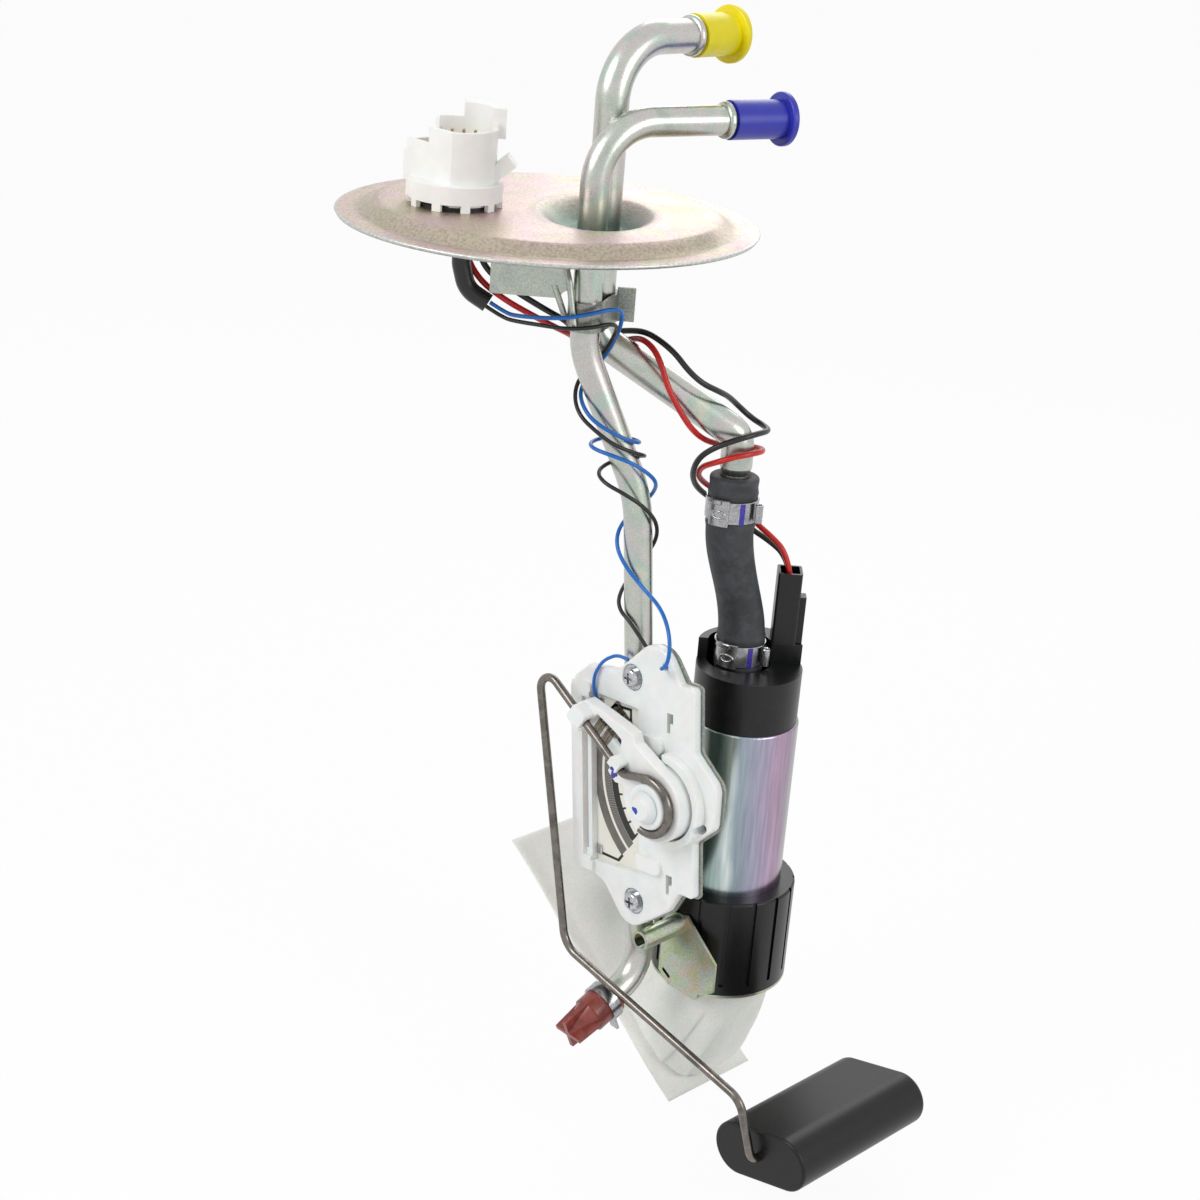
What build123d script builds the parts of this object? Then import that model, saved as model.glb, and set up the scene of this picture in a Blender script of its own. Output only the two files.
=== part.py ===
from build123d import *
import os
from math import cos, radians, sin, tan

# Fuel pump module, in millimetres. The origin is the centre of the flange, on the underside
# of its rim. +Z is up, the level sender faces -Y, and the pump hangs beside the two tubes.

# Fits and running gaps
snug = 0.05
running = 0.3
shaft_fit = 0.04

# Flange: a pressed steel cover with a flat rim, a raised plateau and a dish round the tubes
flange_r = 67.5
sheet = 1.2
rim_width = 7.5
wall_width = 3.6
plateau_rise = 3.5
dish_x, dish_y = 14.5, 7.0
dish_turn = 135.0
dish_long, dish_wide = 30.0, 20.0
dish_floor_long, dish_floor_wide = 13.5, 9.0
dish_depth = 6.5
plateau_top = plateau_rise + sheet

# Return tube, the nearer one, which also carries the sender and the pump bracket
return_r = 4.75
return_wall = 0.9
return_x, return_y = 19.0, 1.4
return_arm_z = 33.6
return_arm_turn = 76.6
return_arm_end = 66.0
return_bead_at = 46.0
return_bend_z = -38.0
return_knee_z = -86.0
return_foot_z = -255.9
return_tip_y, return_tip_drop = -2.6, 8.0
return_set_back, return_set_z = 16.0, -243.0
return_bend_r = 30.0
return_knee_r = 55.0
return_foot_r = 15.0
lean = 6.67
tube_bend_r = 19.0

# Supply tube, the farther one, which takes the fuel from the pump's hose
supply_r = 5.4
supply_wall = 0.9
supply_x, supply_y = 11.4, 13.6
supply_arm_z = 57.3
supply_arm_turn = 89.4
supply_arm_end = 48.4
supply_bead_at = 32.4
supply_bend_z = -36.5
supply_bend_r = 10.0
supply_knee_r = 7.0
supply_low_x, supply_low_y, supply_low_z = 49.2, 45.6, -65.5
spigot_r = 4.5
spigot_start_z, spigot_end_z = -76.0, -97.0
bead_proud = 1.1
bead_length = 2.6

# Transit caps pushed on the two tube ends
cap_wall = 1.5
cap_flange_proud = 2.4
cap_flange_thick = 2.4
cap_end_gap = 1.5
cap_end_thick = 1.6

# Strap that ties the two tubes together under the flange
strap_top_z = -21.8
strap_height = 9.4
strap_thick = 1.2
strap_ear_long, strap_ear_height = 6.0, 11.0

# Steel bracket under the flange, with two prongs that reach the strap
hanger_x, hanger_y = 6.0, -11.6
hanger_long, hanger_high = 25.0, 25.0
hanger_sheet = 1.5
hanger_lug_long, hanger_lug_thick = 8.0, 1.4
prong_r, prong_bend_r = 1.0, 5.0
near_prong = [(14.9, -5.7, -9.0), (18.3, -6.2, -15.0), (21.1, -5.4, -29.5)]
far_prong = [(10.4, -8.3, -11.0), (12.7, -6.7, -18.5), (16.1, -5.1, -27.0)]

# Electrical connector on the flange
plug_x, plug_y = -14.0, -27.0
skirt_r = 14.9
skirt_foot_z, skirt_top_z = 7.0, 12.4
foot_thick, foot_wide, foot_count = 1.6, 2.8, 10
gasket_r, gasket_thick = 12.4, 1.2
neck_r = 10.5
neck_drop = 6.0
barrel_r = 12.4
barrel_flat = 9.2
barrel_front_z, barrel_back_z = 28.6, 30.3
key_block_left, key_block_back, key_block_z = -13.3, 1.1, 23.6
key_step_x = -2.8
key_rib_x, key_rib_y, key_rib_size = -14.2, -7.6, 2.4
key_rib_low_z, key_rib_top_z = 10.6, 19.9
shroud_r, shroud_low_z, shroud_top_z = 14.8, 25.6, 34.8
shroud_start, shroud_end = 0.8, 1.6
socket_wall = 1.8
socket_floor_z = 18.5
latch_reach, latch_root_z = 8.9, 12.6
latch_long, latch_thick, latch_wide, latch_rise = 11.0, 4.4, 7.0, 40.5
terminal_count = 4
terminal_pitch = 3.6
terminal_thick, terminal_width = 0.8, 2.4
terminal_height = 9.5
sleeve_r, sleeve_bend_r = 3.0, 8.0
sleeve_route = [(-12.0, -25.0, -2.5), (-12.0, -25.0, -14.0), (-10.6, -23.4, -22.0), (-5.3, -18.8, -26.0)]

# Pump shell, end cap and the plug on it
pump_x, pump_y = 57.4, 53.4
pump_r = 19.0
pump_top, pump_bottom = -165.3, -262.0
shell_wall = 1.5
cap_top, cap_shoulder_top = -146.5, -139.5
cap_r = 18.3
cap_skirt = 9.0
nozzle_x, nozzle_y = 52.8, 52.8
nozzle_top = -136.0
nozzle_wall = 1.6
nozzle_sunk = 6.0
hose_wall = 3.6
hose_top, hose_bottom = -79.0, -152.0
hose_bow_z, hose_return_z = -104.0, -128.0
hose_bend_r = 40.0
clamp_width, clamp_thick = 7.5, 0.7
clamp_reach = 2.6
clamp_top_z, clamp_low_z = -90.0, -142.0
harness_x, harness_y = 60.2, 66.2
harness_wide, harness_deep = 8.4, 9.0
harness_rail = 2.2
harness_top, harness_rail_top = -113.5, -122.5

# Motor and pumping stage inside the shell
shaft_r = 2.5
shaft_top, shaft_bottom = -171.5, -259.0
bush_r = 5.0
bush_length = 6.0
magnet_thick = 3.6
magnet_top, magnet_bottom = -188.0, -232.0
magnet_arc = 150.0
air_gap = 0.5
armature_slots = 12
commutator_r = 7.0
commutator_top, commutator_bottom = -178.5, -186.0
brush_long, brush_wide, brush_high = 6.0, 4.6, 5.0
stage_top, stage_split = -238.0, -249.0
impeller_r = 14.0
impeller_thick = 3.6
impeller_vanes = 20
vane_depth = 2.4
inlet_r = 5.0
inlet_spigot_r = 8.0
inlet_spigot = 7.0

# Isolator ring round the pump, and the bracket that carries it
ring_r = 24.2
ring_top, ring_bottom = -227.0, -262.0
ring_groove_deep, ring_groove_wide = 0.8, 1.6
ring_groove_count = 16
ring_floor = 1.5
ring_floor_r = 14.0
bracket_sheet = 1.0
bracket_lip_r = 17.0
tongue_r = 3.6
tongue_z = -238.5
tongue_reach = 19.5
tongue_open = 0.7
plate_left, plate_right = 51.8, 78.1
plate_outline = [
    (plate_left, -260.8), (plate_left, -240.4), (54.5, -236.0), (58.0, -234.9),
    (62.7, -234.2), (78.0, -246.5), (plate_right, -257.6), (70.5, -262.4),
]
fold_left, fold_right = 57.0, 70.0

# Sender: a steel plate, a moulded housing and a ceramic card, all leaning with the tube
sender_front = 11.0
sender_plate_thick = 1.0
pivot_x, pivot_z = 67.8, -179.8
base_thick = 3.0
rail_height = 4.6
card_thick = 1.0
card_left, card_right, card_low, card_high = -39.6, -11.0, -35.0, 31.0
window_outline = [
    (-36.8, -33.6), (-36.8, 28.6), (-14.4, 27.6), (-14.4, -32.0), (-22.3, -32.5),
]
housing_outline = [
    (-45.6, -38.4), (-45.6, 32.0), (-38.5, 37.6), (-24.6, 38.8), (-4.6, 55.8), (5.1, 40.6),
    (11.4, 40.6), (11.4, 18.4), (21.5, 9.3), (20.2, -5.6), (10.9, -13.2), (10.9, -33.4),
    (4.6, -33.4), (-1.0, -41.8), (-20.3, -55.0), (-31.5, -40.9), (-37.0, -38.4),
]
housing_rounds = [1.6, 1.6, 1.6, 2.0, 8.8, 1.0, 1.6, 3.0, 6.0, 4.0, 1.6, 1.6, 1.0, 5.0, 7.6, 3.0, 1.0]
backing_outline = [
    (-37.5, -36.5), (-37.5, 36.0), (-24.0, 37.2), (-4.2, 56.2), (6.0, 41.3), (12.2, 41.3),
    (12.2, 18.7), (22.4, 9.3), (21.0, -6.0), (11.7, -13.5), (11.7, -34.2), (5.3, -34.2),
    (-0.4, -42.4), (-20.2, -54.9), (-30.9, -39.2),
]
backing_rounds = [2.0, 2.0, 2.0, 9.2, 1.0, 2.0, 3.0, 6.0, 4.0, 1.6, 2.0, 1.0, 5.0, 8.0, 3.0]
outer_rail_u, outer_rail_wide, inner_rail_u, inner_rail_wide = -43.0, 5.2, -37.7, 1.8
rail_v, rail_long, inner_rail_high = -3.0, 66.0, 0.6
rail_slot_u, rail_slot_wide, rail_slot_long = -39.5, 1.6, 54.0
rail_end_u, rail_end_long, rail_end_high, rail_end_low = -40.6, 9.0, 29.0, -34.6
stop_long, stop_wide = 13.4, 5.4
stop_spots = [(-8.8, 17.2), (-10.0, -26.6)]
hook_spots = [(0.4, 28.0), (-0.2, -29.8)]
hook_wide, hook_long, hook_tail = 2.8, 3.6, 7.0
bulge_hole_u, bulge_hole_v, bulge_hole_r = 15.2, -6.6, 1.4
crescent_thick, crescent_high = 2.5, 4.0
lug_spots = [(-34.0, 24.4), (-35.4, -29.8)]
screw_u, screw_high, screw_low = -17.0, 38.2, -42.7
screw_r = 2.0
washer_r, washer_thick = 4.3, 0.8
screw_head_r, screw_head_high = 3.3, 2.3
screw_sunk = 0.9
cross_long, cross_wide, cross_deep = 3.8, 0.9, 1.2
post_r, post_front = 3.2, 15.6
hub_r = 13.0
hub_back, arm_back, arm_front = 3.6, 6.0, 11.4
hub_boss_r, hub_boss_front = 7.9, 14.4
boss_r, boss_tip_r, boss_front = 5.6, 3.6, 17.4
track_outer_r, track_inner_r = 34.2, 29.6
rotor_heading = 149.5
rotor_reach = 46.0
rotor_outline = [
    (4.0, -12.3), (12.0, -11.2), (17.8, -10.6), (20.2, -12.5), (25.3, -10.9), (32.4, -8.2),
    (42.2, -4.2), (45.0, 1.6), (44.4, 8.4), (38.0, 8.6), (36.8, 3.0), (35.4, -4.6),
    (26.4, -6.3), (22.6, -6.6), (21.2, -3.0), (21.0, 3.4), (20.4, 7.6), (15.6, 8.0),
    (12.8, 5.6), (9.4, 8.4), (2.0, 12.4),
]
rotor_round = 0.7
shelf_start, shelf_end, shelf_inner, shelf_outer = 18.0, 38.6, 0.5, 5.2
shelf_thick = 1.2
outer_clip_at, outer_clip_long = 39.4, 6.4
inner_clip_at, inner_clip_long = 17.8, 4.6
clip_side, clip_over = 2.0, 1.6
contact_wide, contact_thick, contact_reach = 3.4, 0.3, 5.4
contact_slit, contact_slit_pitch, contact_slit_long = 0.3, 1.15, 9.0

# Float arm and float
wire_r = 1.45
wire_level = 13.0
loop_r = 9.6
loop_start, loop_sweep = -105.0, 210.0
float_x, float_z = 128.0, -284.5
float_length = 63.0
float_wide, float_thick = 39.5, 18.5
float_tilt = 15.0
float_front = 1.6
float_pin = 17.0

# Strainer sock, a woven pillow hung under the pump
sock_long, sock_deep, sock_puff = 113.0, 42.0, 6.0
hem_thick, hem_width = 1.6, 5.0
sock_corner_x, sock_corner_y, sock_corner_z = 65.0, 26.0, -309.0
sock_pitch = 35.7
mouth_r = 19.5
collar_r = 12.0

# Check valve on the foot of the return tube
valve_r = 6.4
valve_sleeve = 11.0
valve_beak = 10.5
clamp_tail_long, clamp_tail_wide = 8.0, 3.4

# Wires from the connector to the pump's plug and to the sender, wound round the two tubes
thin_wire_r, thick_wire_r, card_lead_r = 0.675, 1.0, 0.6
wire_hole_r = 1.3
wire_hole_u, wire_hole_v = -1.8, 45.4
blue_route = [
    (-4.1, -19.0, -25.4), (-0.1, -15.5, -28.4), (5.2, -16.0, -28.0), (13.2, -13.0, -27.2),
    (20.9, -9.1, -26.0), (26.4, -3.3, -24.0), (28.8, 2.5, -22.7), (28.7, 7.5, -23.5),
    (26.5, 10.2, -28.3), (22.9, 11.6, -34.5), (19.4, 11.4, -40.7), (16.3, 8.7, -46.5),
    (16.1, 3.7, -52.0), (21.7, -0.2, -55.4), (27.4, -0.4, -59.2), (32.4, 3.6, -62.4),
    (35.6, 8.8, -65.1), (34.6, 15.1, -67.1), (28.7, 18.2, -68.0), (23.2, 15.8, -68.3),
    (19.7, 10.9, -68.8), (21.0, 4.8, -69.2), (26.2, 2.2, -69.3), (31.9, 3.9, -70.0),
    (36.7, 8.4, -71.8), (39.4, 13.9, -75.4), (38.3, 20.4, -80.6), (33.0, 24.0, -86.9),
    (28.5, 20.6, -93.1), (27.9, 14.6, -98.0), (31.2, 10.7, -102.9), (36.4, 10.3, -108.1),
    (43.5, 12.3, -114.0), (53.0, 10.7, -116.6), (60.8, 7.4, -120.4), (65.3, 4.6, -126.0),
    (65.0, 4.0, -132.0), (61.8, 3.9, -134.6), (60.6, 9.5, -134.9),
]
thin_black_route = [
    (-5.0, -19.8, -26.8), (-0.8, -16.1, -30.0), (4.9, -15.6, -29.9), (12.9, -12.6, -29.6),
    (21.2, -8.7, -29.5), (26.7, -3.0, -28.4), (29.0, 2.4, -27.3), (27.5, 7.5, -29.0),
    (23.8, 9.4, -34.3), (19.8, 9.6, -39.8), (15.9, 7.8, -45.0), (15.1, 3.3, -49.7),
    (18.1, -0.4, -54.3), (22.9, -1.9, -58.5), (28.2, -0.4, -61.9), (32.9, 3.5, -66.0),
    (36.6, 9.1, -68.6), (36.4, 15.9, -71.1), (30.9, 19.9, -73.3), (25.3, 18.2, -75.0),
    (22.7, 12.0, -76.8), (24.4, 6.0, -78.3), (30.2, 3.9, -80.0), (36.6, 7.0, -82.4),
    (40.5, 12.2, -86.3), (41.1, 18.5, -92.5), (37.5, 23.5, -100.6), (33.1, 22.9, -108.7),
    (30.3, 18.9, -115.9), (31.2, 13.5, -121.6), (34.8, 11.4, -125.0), (40.6, 10.7, -126.6),
    (49.0, 11.7, -134.1),
]
red_route = [
    (-15.1, -21.6, -2.5), (-15.1, -21.6, -10.0), (-10.3, -19.4, -19.0), (-1.9, -14.6, -24.7),
    (4.0, -9.0, -28.5), (8.1, -2.5, -32.3), (7.9, 4.4, -35.5), (4.5, 11.4, -39.1), (5.1, 19.6, -41.2),
    (9.8, 24.9, -41.1), (17.0, 26.0, -37.8), (24.0, 23.5, -36.4), (29.7, 22.9, -38.3),
    (33.8, 22.5, -42.6), (36.3, 23.6, -49.4), (39.4, 26.4, -56.4), (41.7, 30.9, -63.3),
    (41.1, 38.7, -68.5), (41.2, 48.1, -71.4), (45.3, 53.6, -71.5), (51.4, 54.2, -70.6),
    (56.3, 50.6, -69.7), (57.4, 44.0, -69.2), (54.9, 38.2, -70.0), (50.3, 35.3, -72.5),
    (43.1, 34.9, -76.2), (36.5, 41.3, -83.0), (36.4, 51.6, -89.7), (42.7, 58.3, -94.7),
    (48.6, 60.0, -99.4), (54.0, 61.6, -102.4), (59.8, 63.7, -107.0), (61.5, 64.9, -115.0),
]
thick_black_route = [
    (-9.8, -20.6, -2.5), (-9.8, -20.6, -9.0), (-6.0, -18.7, -16.5), (3.3, -10.9, -23.0),
    (7.9, -4.8, -27.2), (8.9, 1.9, -30.7), (4.9, 8.7, -34.9), (3.6, 17.4, -37.6), (7.5, 23.9, -37.8),
    (14.7, 25.5, -35.7), (22.3, 25.4, -34.3), (29.3, 25.8, -35.8), (35.5, 26.7, -38.7),
    (40.2, 28.0, -43.1), (44.0, 31.2, -47.0), (45.3, 37.8, -50.2), (43.6, 44.8, -53.4),
    (42.4, 51.0, -57.6), (45.0, 55.4, -62.0), (51.0, 56.2, -63.6), (56.3, 52.1, -63.0),
    (58.1, 44.7, -62.3), (56.2, 38.4, -63.5), (51.5, 33.4, -66.4), (45.8, 31.4, -71.1),
    (40.8, 33.7, -78.1), (36.9, 39.8, -85.3), (36.2, 48.3, -91.4), (40.3, 56.3, -96.7),
    (44.7, 61.1, -102.3), (50.4, 64.4, -105.4), (56.6, 66.8, -109.2), (58.9, 67.5, -115.0),
]
card_lead_route = [
    (42.2, 9.7, -139.5), (37.4, 9.0, -139.3), (32.7, 7.4, -142.6), (29.9, 6.6, -148.5),
    (29.8, 6.7, -154.0), (30.9, 8.5, -158.7),
]

os.makedirs("parts", exist_ok=True)


def heading(x, y, z, angle, reach):
    """Point at a horizontal distance from (x, y) along a heading in degrees."""
    return (x + reach * cos(radians(angle)), y + reach * sin(radians(angle)), z)


def swept(points, bends, outer, inner=0.0):
    """Round tube or rod along straight runs joined by tangent bends."""
    with BuildPart() as tube:
        with BuildLine() as path:
            FilletPolyline(*points, radius=bends)
        with BuildSketch(Plane(origin=path.line @ 0, z_dir=path.line % 0)):
            Circle(outer)
            if inner > 0:
                Circle(inner, mode=Mode.SUBTRACT)
        sweep(path=path.line)
    return tube


def save(item, name):
    """Label a finished piece and write it to a file of the same name."""
    item.part.label = name
    export_step(item.part, f"parts/{name}.step")


def level(z, x=0.0, y=0.0, turn=0.0):
    """Horizontal plane at a height, with its x axis turned in degrees."""
    return Plane(origin=(x, y, z), x_dir=(cos(radians(turn)), sin(radians(turn)), 0))


def outlined(points, rounds):
    """Flat outline with the given corners, each rounded by its own radius."""
    with BuildSketch() as outline:
        with BuildLine():
            FilletPolyline(*points, radius=rounds, close=True)
        make_face()
    return outline.sketch


dish_steps = ((0.0, 0.0), (0.12, 0.28), (0.88, 0.78), (1.0, 1.0))


def dish_bowl(surface_z):
    """Solid bowl that the dish hollows out below a surface, flat at its brim and floor."""
    with BuildPart() as bowl:
        for depth_share, taper in dish_steps:
            with BuildSketch(level(surface_z - depth_share * dish_depth, dish_x, dish_y)):
                Ellipse(
                    dish_long + taper * (dish_floor_long - dish_long),
                    dish_wide + taper * (dish_floor_wide - dish_wide),
                    rotation=dish_turn,
                )
        loft(ruled=True)
    return bowl


# Flange plate
wall_foot = flange_r - rim_width
wall_head = wall_foot - wall_width
with BuildPart() as flange_plate:
    with BuildSketch(Plane.XZ):
        with BuildLine():
            Polyline(
                (0, plateau_rise), (wall_head, plateau_rise), (wall_foot, 0), (flange_r, 0),
                (flange_r, sheet), (wall_foot, sheet), (wall_head, plateau_top), (0, plateau_top),
                close=True,
            )
        make_face()
    revolve(axis=Axis.Z)
    add(dish_bowl(plateau_rise).part)
    add(dish_bowl(plateau_top).part, mode=Mode.SUBTRACT)
    with BuildSketch(Plane.XY.offset(-2 * dish_depth)):
        with Locations((return_x, return_y)):
            Circle(return_r + snug)
        with Locations((supply_x, supply_y)):
            Circle(supply_r + snug)
        with Locations((plug_x, plug_y)):
            Circle(neck_r + snug)
    extrude(amount=4 * dish_depth, mode=Mode.SUBTRACT)
save(flange_plate, "flange_plate")


def lower_return(z):
    """Centre of the return tube's leaning lower run at a height."""
    x = pivot_x - return_set_back - (z - return_set_z) * tan(radians(lean))
    return (x, sender_front + sender_plate_thick + return_r + snug, z)


# Return tube: arm to the engine bay, drop through the flange, set-over, and foot
return_end = heading(return_x, return_y, return_arm_z, return_arm_turn, return_arm_end)
foot_corner = lower_return(return_foot_z)
foot_end = (foot_corner[0], return_tip_y, return_foot_z - return_tip_drop)
return_route = [
    return_end,
    (return_x, return_y, return_arm_z),
    (return_x, return_y, return_bend_z),
    lower_return(return_knee_z),
    foot_corner,
    foot_end,
]
return_bends = [tube_bend_r, return_bend_r, return_knee_r, return_foot_r]


def beaded(points, bends, outer, wall, bead_at):
    """Tube with a rolled bead at a distance from its upright run."""
    with BuildPart() as tube:
        add(swept(points, bends, outer, outer - wall).part)
        start, corner = Vector(*points[0]), Vector(*points[1])
        along = (start - corner).normalized()
        middle = corner + along * bead_at
        with BuildSketch(Plane(origin=middle - along * (bead_length / 2), z_dir=along)):
            Circle(outer + bead_proud)
            Circle(outer - wall / 2, mode=Mode.SUBTRACT)
        extrude(amount=bead_length)
        fillet(tube.edges().filter_by(lambda e: e.geom_type == GeomType.CIRCLE
                                      and e.radius > outer + bead_proud / 2), bead_length * 0.4)
    return tube


return_tube = beaded(return_route, return_bends, return_r, return_wall, return_bead_at)
save(return_tube, "return_tube")

# Supply tube, necked down to the spigot that the hose grips
supply_end = heading(supply_x, supply_y, supply_arm_z, supply_arm_turn, supply_arm_end)
supply_route = [
    supply_end,
    (supply_x, supply_y, supply_arm_z),
    (supply_x, supply_y, supply_bend_z),
    (supply_low_x, supply_low_y, supply_low_z),
    (supply_low_x, supply_low_y, spigot_start_z),
]
supply_bends = [tube_bend_r, supply_bend_r, supply_knee_r]
neck_length = supply_r - spigot_r + 1.5
with BuildPart() as supply_tube:
    add(beaded(supply_route, supply_bends, supply_r, supply_wall, supply_bead_at).part)
    with BuildSketch(Plane.XZ.offset(-supply_low_y)):
        with BuildLine():
            Polyline(
                (supply_low_x + supply_r - supply_wall, spigot_start_z),
                (supply_low_x + supply_r, spigot_start_z),
                (supply_low_x + spigot_r, spigot_start_z - neck_length),
                (supply_low_x + spigot_r, spigot_end_z),
                (supply_low_x + spigot_r - supply_wall, spigot_end_z),
                (supply_low_x + spigot_r - supply_wall, spigot_start_z - neck_length),
                close=True,
            )
        make_face()
    revolve(axis=Axis((supply_low_x, supply_low_y, 0), (0, 0, 1)))
save(supply_tube, "supply_tube")


def transit_cap(points, outer, bead_at):
    """Closed plastic cap, flanged at its outer end, from the tube's bead to past its tip."""
    start, corner = Vector(*points[0]), Vector(*points[1])
    along = (start - corner).normalized()
    mouth = corner + along * (bead_at + bead_length / 2 + running)
    length = (start - mouth).length + cap_end_gap + cap_end_thick
    with BuildPart() as cap:
        with BuildSketch(Plane(origin=mouth, z_dir=along)):
            Circle(outer + cap_wall)
        extrude(amount=length)
        with BuildSketch(Plane(origin=mouth + along * (length - cap_flange_thick), z_dir=along)):
            Circle(outer + cap_wall + cap_flange_proud)
        extrude(amount=cap_flange_thick)
        fillet(cap.edges().filter_by(lambda e: e.geom_type == GeomType.CIRCLE
                                     and e.radius > outer + cap_wall + cap_flange_proud / 2), 0.7)
        with BuildSketch(Plane(origin=mouth, z_dir=along)):
            Circle(outer + shaft_fit)
        extrude(amount=length - cap_end_thick, mode=Mode.SUBTRACT)
    return cap


blue_cap = transit_cap(return_route, return_r, return_bead_at)
save(blue_cap, "blue_cap")
yellow_cap = transit_cap(supply_route, supply_r, supply_bead_at)
save(yellow_cap, "yellow_cap")

# Strap: a steel band closed round both tubes, with an ear at its seam
with BuildPart() as tube_strap:
    with BuildSketch(Plane.XY.offset(strap_top_z - strap_height)):
        with Locations((return_x, return_y)):
            Circle(return_r + snug + strap_thick)
        with Locations((supply_x, supply_y)):
            Circle(supply_r + snug + strap_thick)
        make_hull()
    extrude(amount=strap_height)
    with BuildSketch(Plane.XY.offset(strap_top_z - strap_height)):
        with Locations((return_x, return_y)):
            Circle(return_r + snug)
        with Locations((supply_x, supply_y)):
            Circle(supply_r + snug)
        make_hull()
    extrude(amount=strap_height, mode=Mode.SUBTRACT)
    ear_x, ear_y, _ = heading(supply_x, supply_y, 0, 45, supply_r + snug + strap_thick / 2)
    with BuildSketch(level(strap_top_z - strap_height, ear_x, ear_y, 45)):
        with Locations((strap_ear_long / 2, 0)):
            Rectangle(strap_ear_long, strap_thick)
    extrude(amount=strap_ear_height)
save(tube_strap, "tube_strap")

# Hanger bracket: a plate welded under the plateau, its solder lug and two prongs to the strap
with BuildPart() as hanger_bracket:
    hanger_face = Plane(
        origin=(hanger_x, hanger_y, plateau_rise - snug - hanger_high / 2),
        x_dir=(1, 1, 0), z_dir=(1, -1, 0),
    )
    with BuildSketch(hanger_face):
        Rectangle(hanger_long, hanger_high)
        with Locations((hanger_long / 2, -hanger_high / 2)):
            Circle(2.6, mode=Mode.SUBTRACT)
    extrude(amount=hanger_sheet)
    with BuildSketch(hanger_face.offset(hanger_sheet)):
        with Locations((hanger_long / 2 - hanger_lug_long / 2, 1.5)):
            RectangleRounded(hanger_lug_long, hanger_high - 6.0, 1.2)
    extrude(amount=hanger_lug_thick)
    add(dish_bowl(plateau_rise - snug).part, mode=Mode.SUBTRACT)
    add(swept(near_prong, prong_bend_r, prong_r).part)
    add(swept(far_prong, prong_bend_r, prong_r).part)
save(hanger_bracket, "hanger_bracket")

# Connector body: skirt on small feet, barrel with a flat and a key block, shroud and latch
with BuildPart() as connector_body:
    with BuildSketch(level(skirt_foot_z, plug_x, plug_y)):
        Circle(skirt_r)
    extrude(amount=skirt_top_z - skirt_foot_z)
    with BuildSketch(level(plateau_top + snug, plug_x, plug_y, 45)):
        with PolarLocations(skirt_r - foot_thick / 2, foot_count):
            Rectangle(foot_thick, foot_wide)
    extrude(amount=skirt_foot_z - plateau_top)
    with BuildSketch(level(plateau_top + gasket_thick, plug_x, plug_y)):
        Circle(barrel_r)
        with Locations((key_block_left / 2, (key_block_back - barrel_flat) / 2)):
            Rectangle(-key_block_left, key_block_back + barrel_flat)
        with Locations((0, -barrel_flat - barrel_r)):
            Rectangle(4 * barrel_r, 2 * barrel_r, mode=Mode.SUBTRACT)
    extrude(amount=barrel_back_z - plateau_top - gasket_thick)
    with BuildSketch(level(key_rib_low_z, plug_x, plug_y)):
        with Locations((key_rib_x, key_rib_y)):
            Rectangle(key_rib_size, key_rib_size)
    extrude(amount=key_rib_top_z - key_rib_low_z)
    with BuildSketch(level(barrel_front_z, plug_x, plug_y, 45)):
        with Locations((0, -skirt_r)):
            Rectangle(4 * skirt_r, 2 * skirt_r)
    extrude(amount=skirt_r, mode=Mode.SUBTRACT)
    with BuildSketch(level(key_block_z, plug_x, plug_y)):
        with Locations((key_step_x - skirt_r, key_block_back - skirt_r)):
            Rectangle(2 * skirt_r, 2 * skirt_r)
    extrude(amount=skirt_r, mode=Mode.SUBTRACT)
    with BuildSketch(level(shroud_low_z, plug_x, plug_y, 45)):
        Circle(shroud_r)
        Circle(barrel_r - socket_wall, mode=Mode.SUBTRACT)
        with Locations((shroud_start - skirt_r, 0)):
            Rectangle(2 * skirt_r, 4 * skirt_r, mode=Mode.SUBTRACT)
        with Locations((0, shroud_end - skirt_r)):
            Rectangle(4 * skirt_r, 2 * skirt_r, mode=Mode.SUBTRACT)
    extrude(amount=shroud_top_z - shroud_low_z)
    latch_root = Plane(
        origin=heading(plug_x, plug_y, latch_root_z, 45, latch_reach),
        x_dir=(cos(radians(45)), sin(radians(45)), tan(radians(latch_rise))), z_dir=(1, -1, 0),
    )
    with BuildSketch(latch_root):
        with Locations((latch_long / 2, 0)):
            Rectangle(latch_long, latch_thick)
    extrude(amount=latch_wide / 2, both=True)
    with BuildSketch(level(socket_floor_z, plug_x, plug_y)):
        Circle(barrel_r - socket_wall)
        with Locations((key_block_left / 2, (key_block_back - barrel_flat) / 2)):
            Rectangle(-key_block_left - 2 * socket_wall, key_block_back + barrel_flat - 2 * socket_wall)
        with Locations((0, socket_wall - barrel_flat - barrel_r)):
            Rectangle(4 * barrel_r, 2 * barrel_r, mode=Mode.SUBTRACT)
    extrude(amount=2 * skirt_r, mode=Mode.SUBTRACT)
    with BuildSketch(level(plateau_top + gasket_thick, plug_x, plug_y)):
        Circle(neck_r)
    extrude(amount=-(gasket_thick + sheet + neck_drop))
save(connector_body, "connector_body")

# Gasket under the connector
with BuildPart() as connector_gasket:
    with BuildSketch(level(plateau_top, plug_x, plug_y)):
        Circle(gasket_r)
        Circle(neck_r + snug, mode=Mode.SUBTRACT)
    extrude(amount=gasket_thick)
save(connector_gasket, "connector_gasket")

# Blades in the connector's socket
with BuildPart() as connector_terminals:
    with BuildSketch(level(socket_floor_z, plug_x, plug_y, 45)):
        with GridLocations(terminal_pitch, 0, terminal_count, 1):
            Rectangle(terminal_thick, terminal_width)
    extrude(amount=terminal_height)
save(connector_terminals, "connector_terminals")

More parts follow.
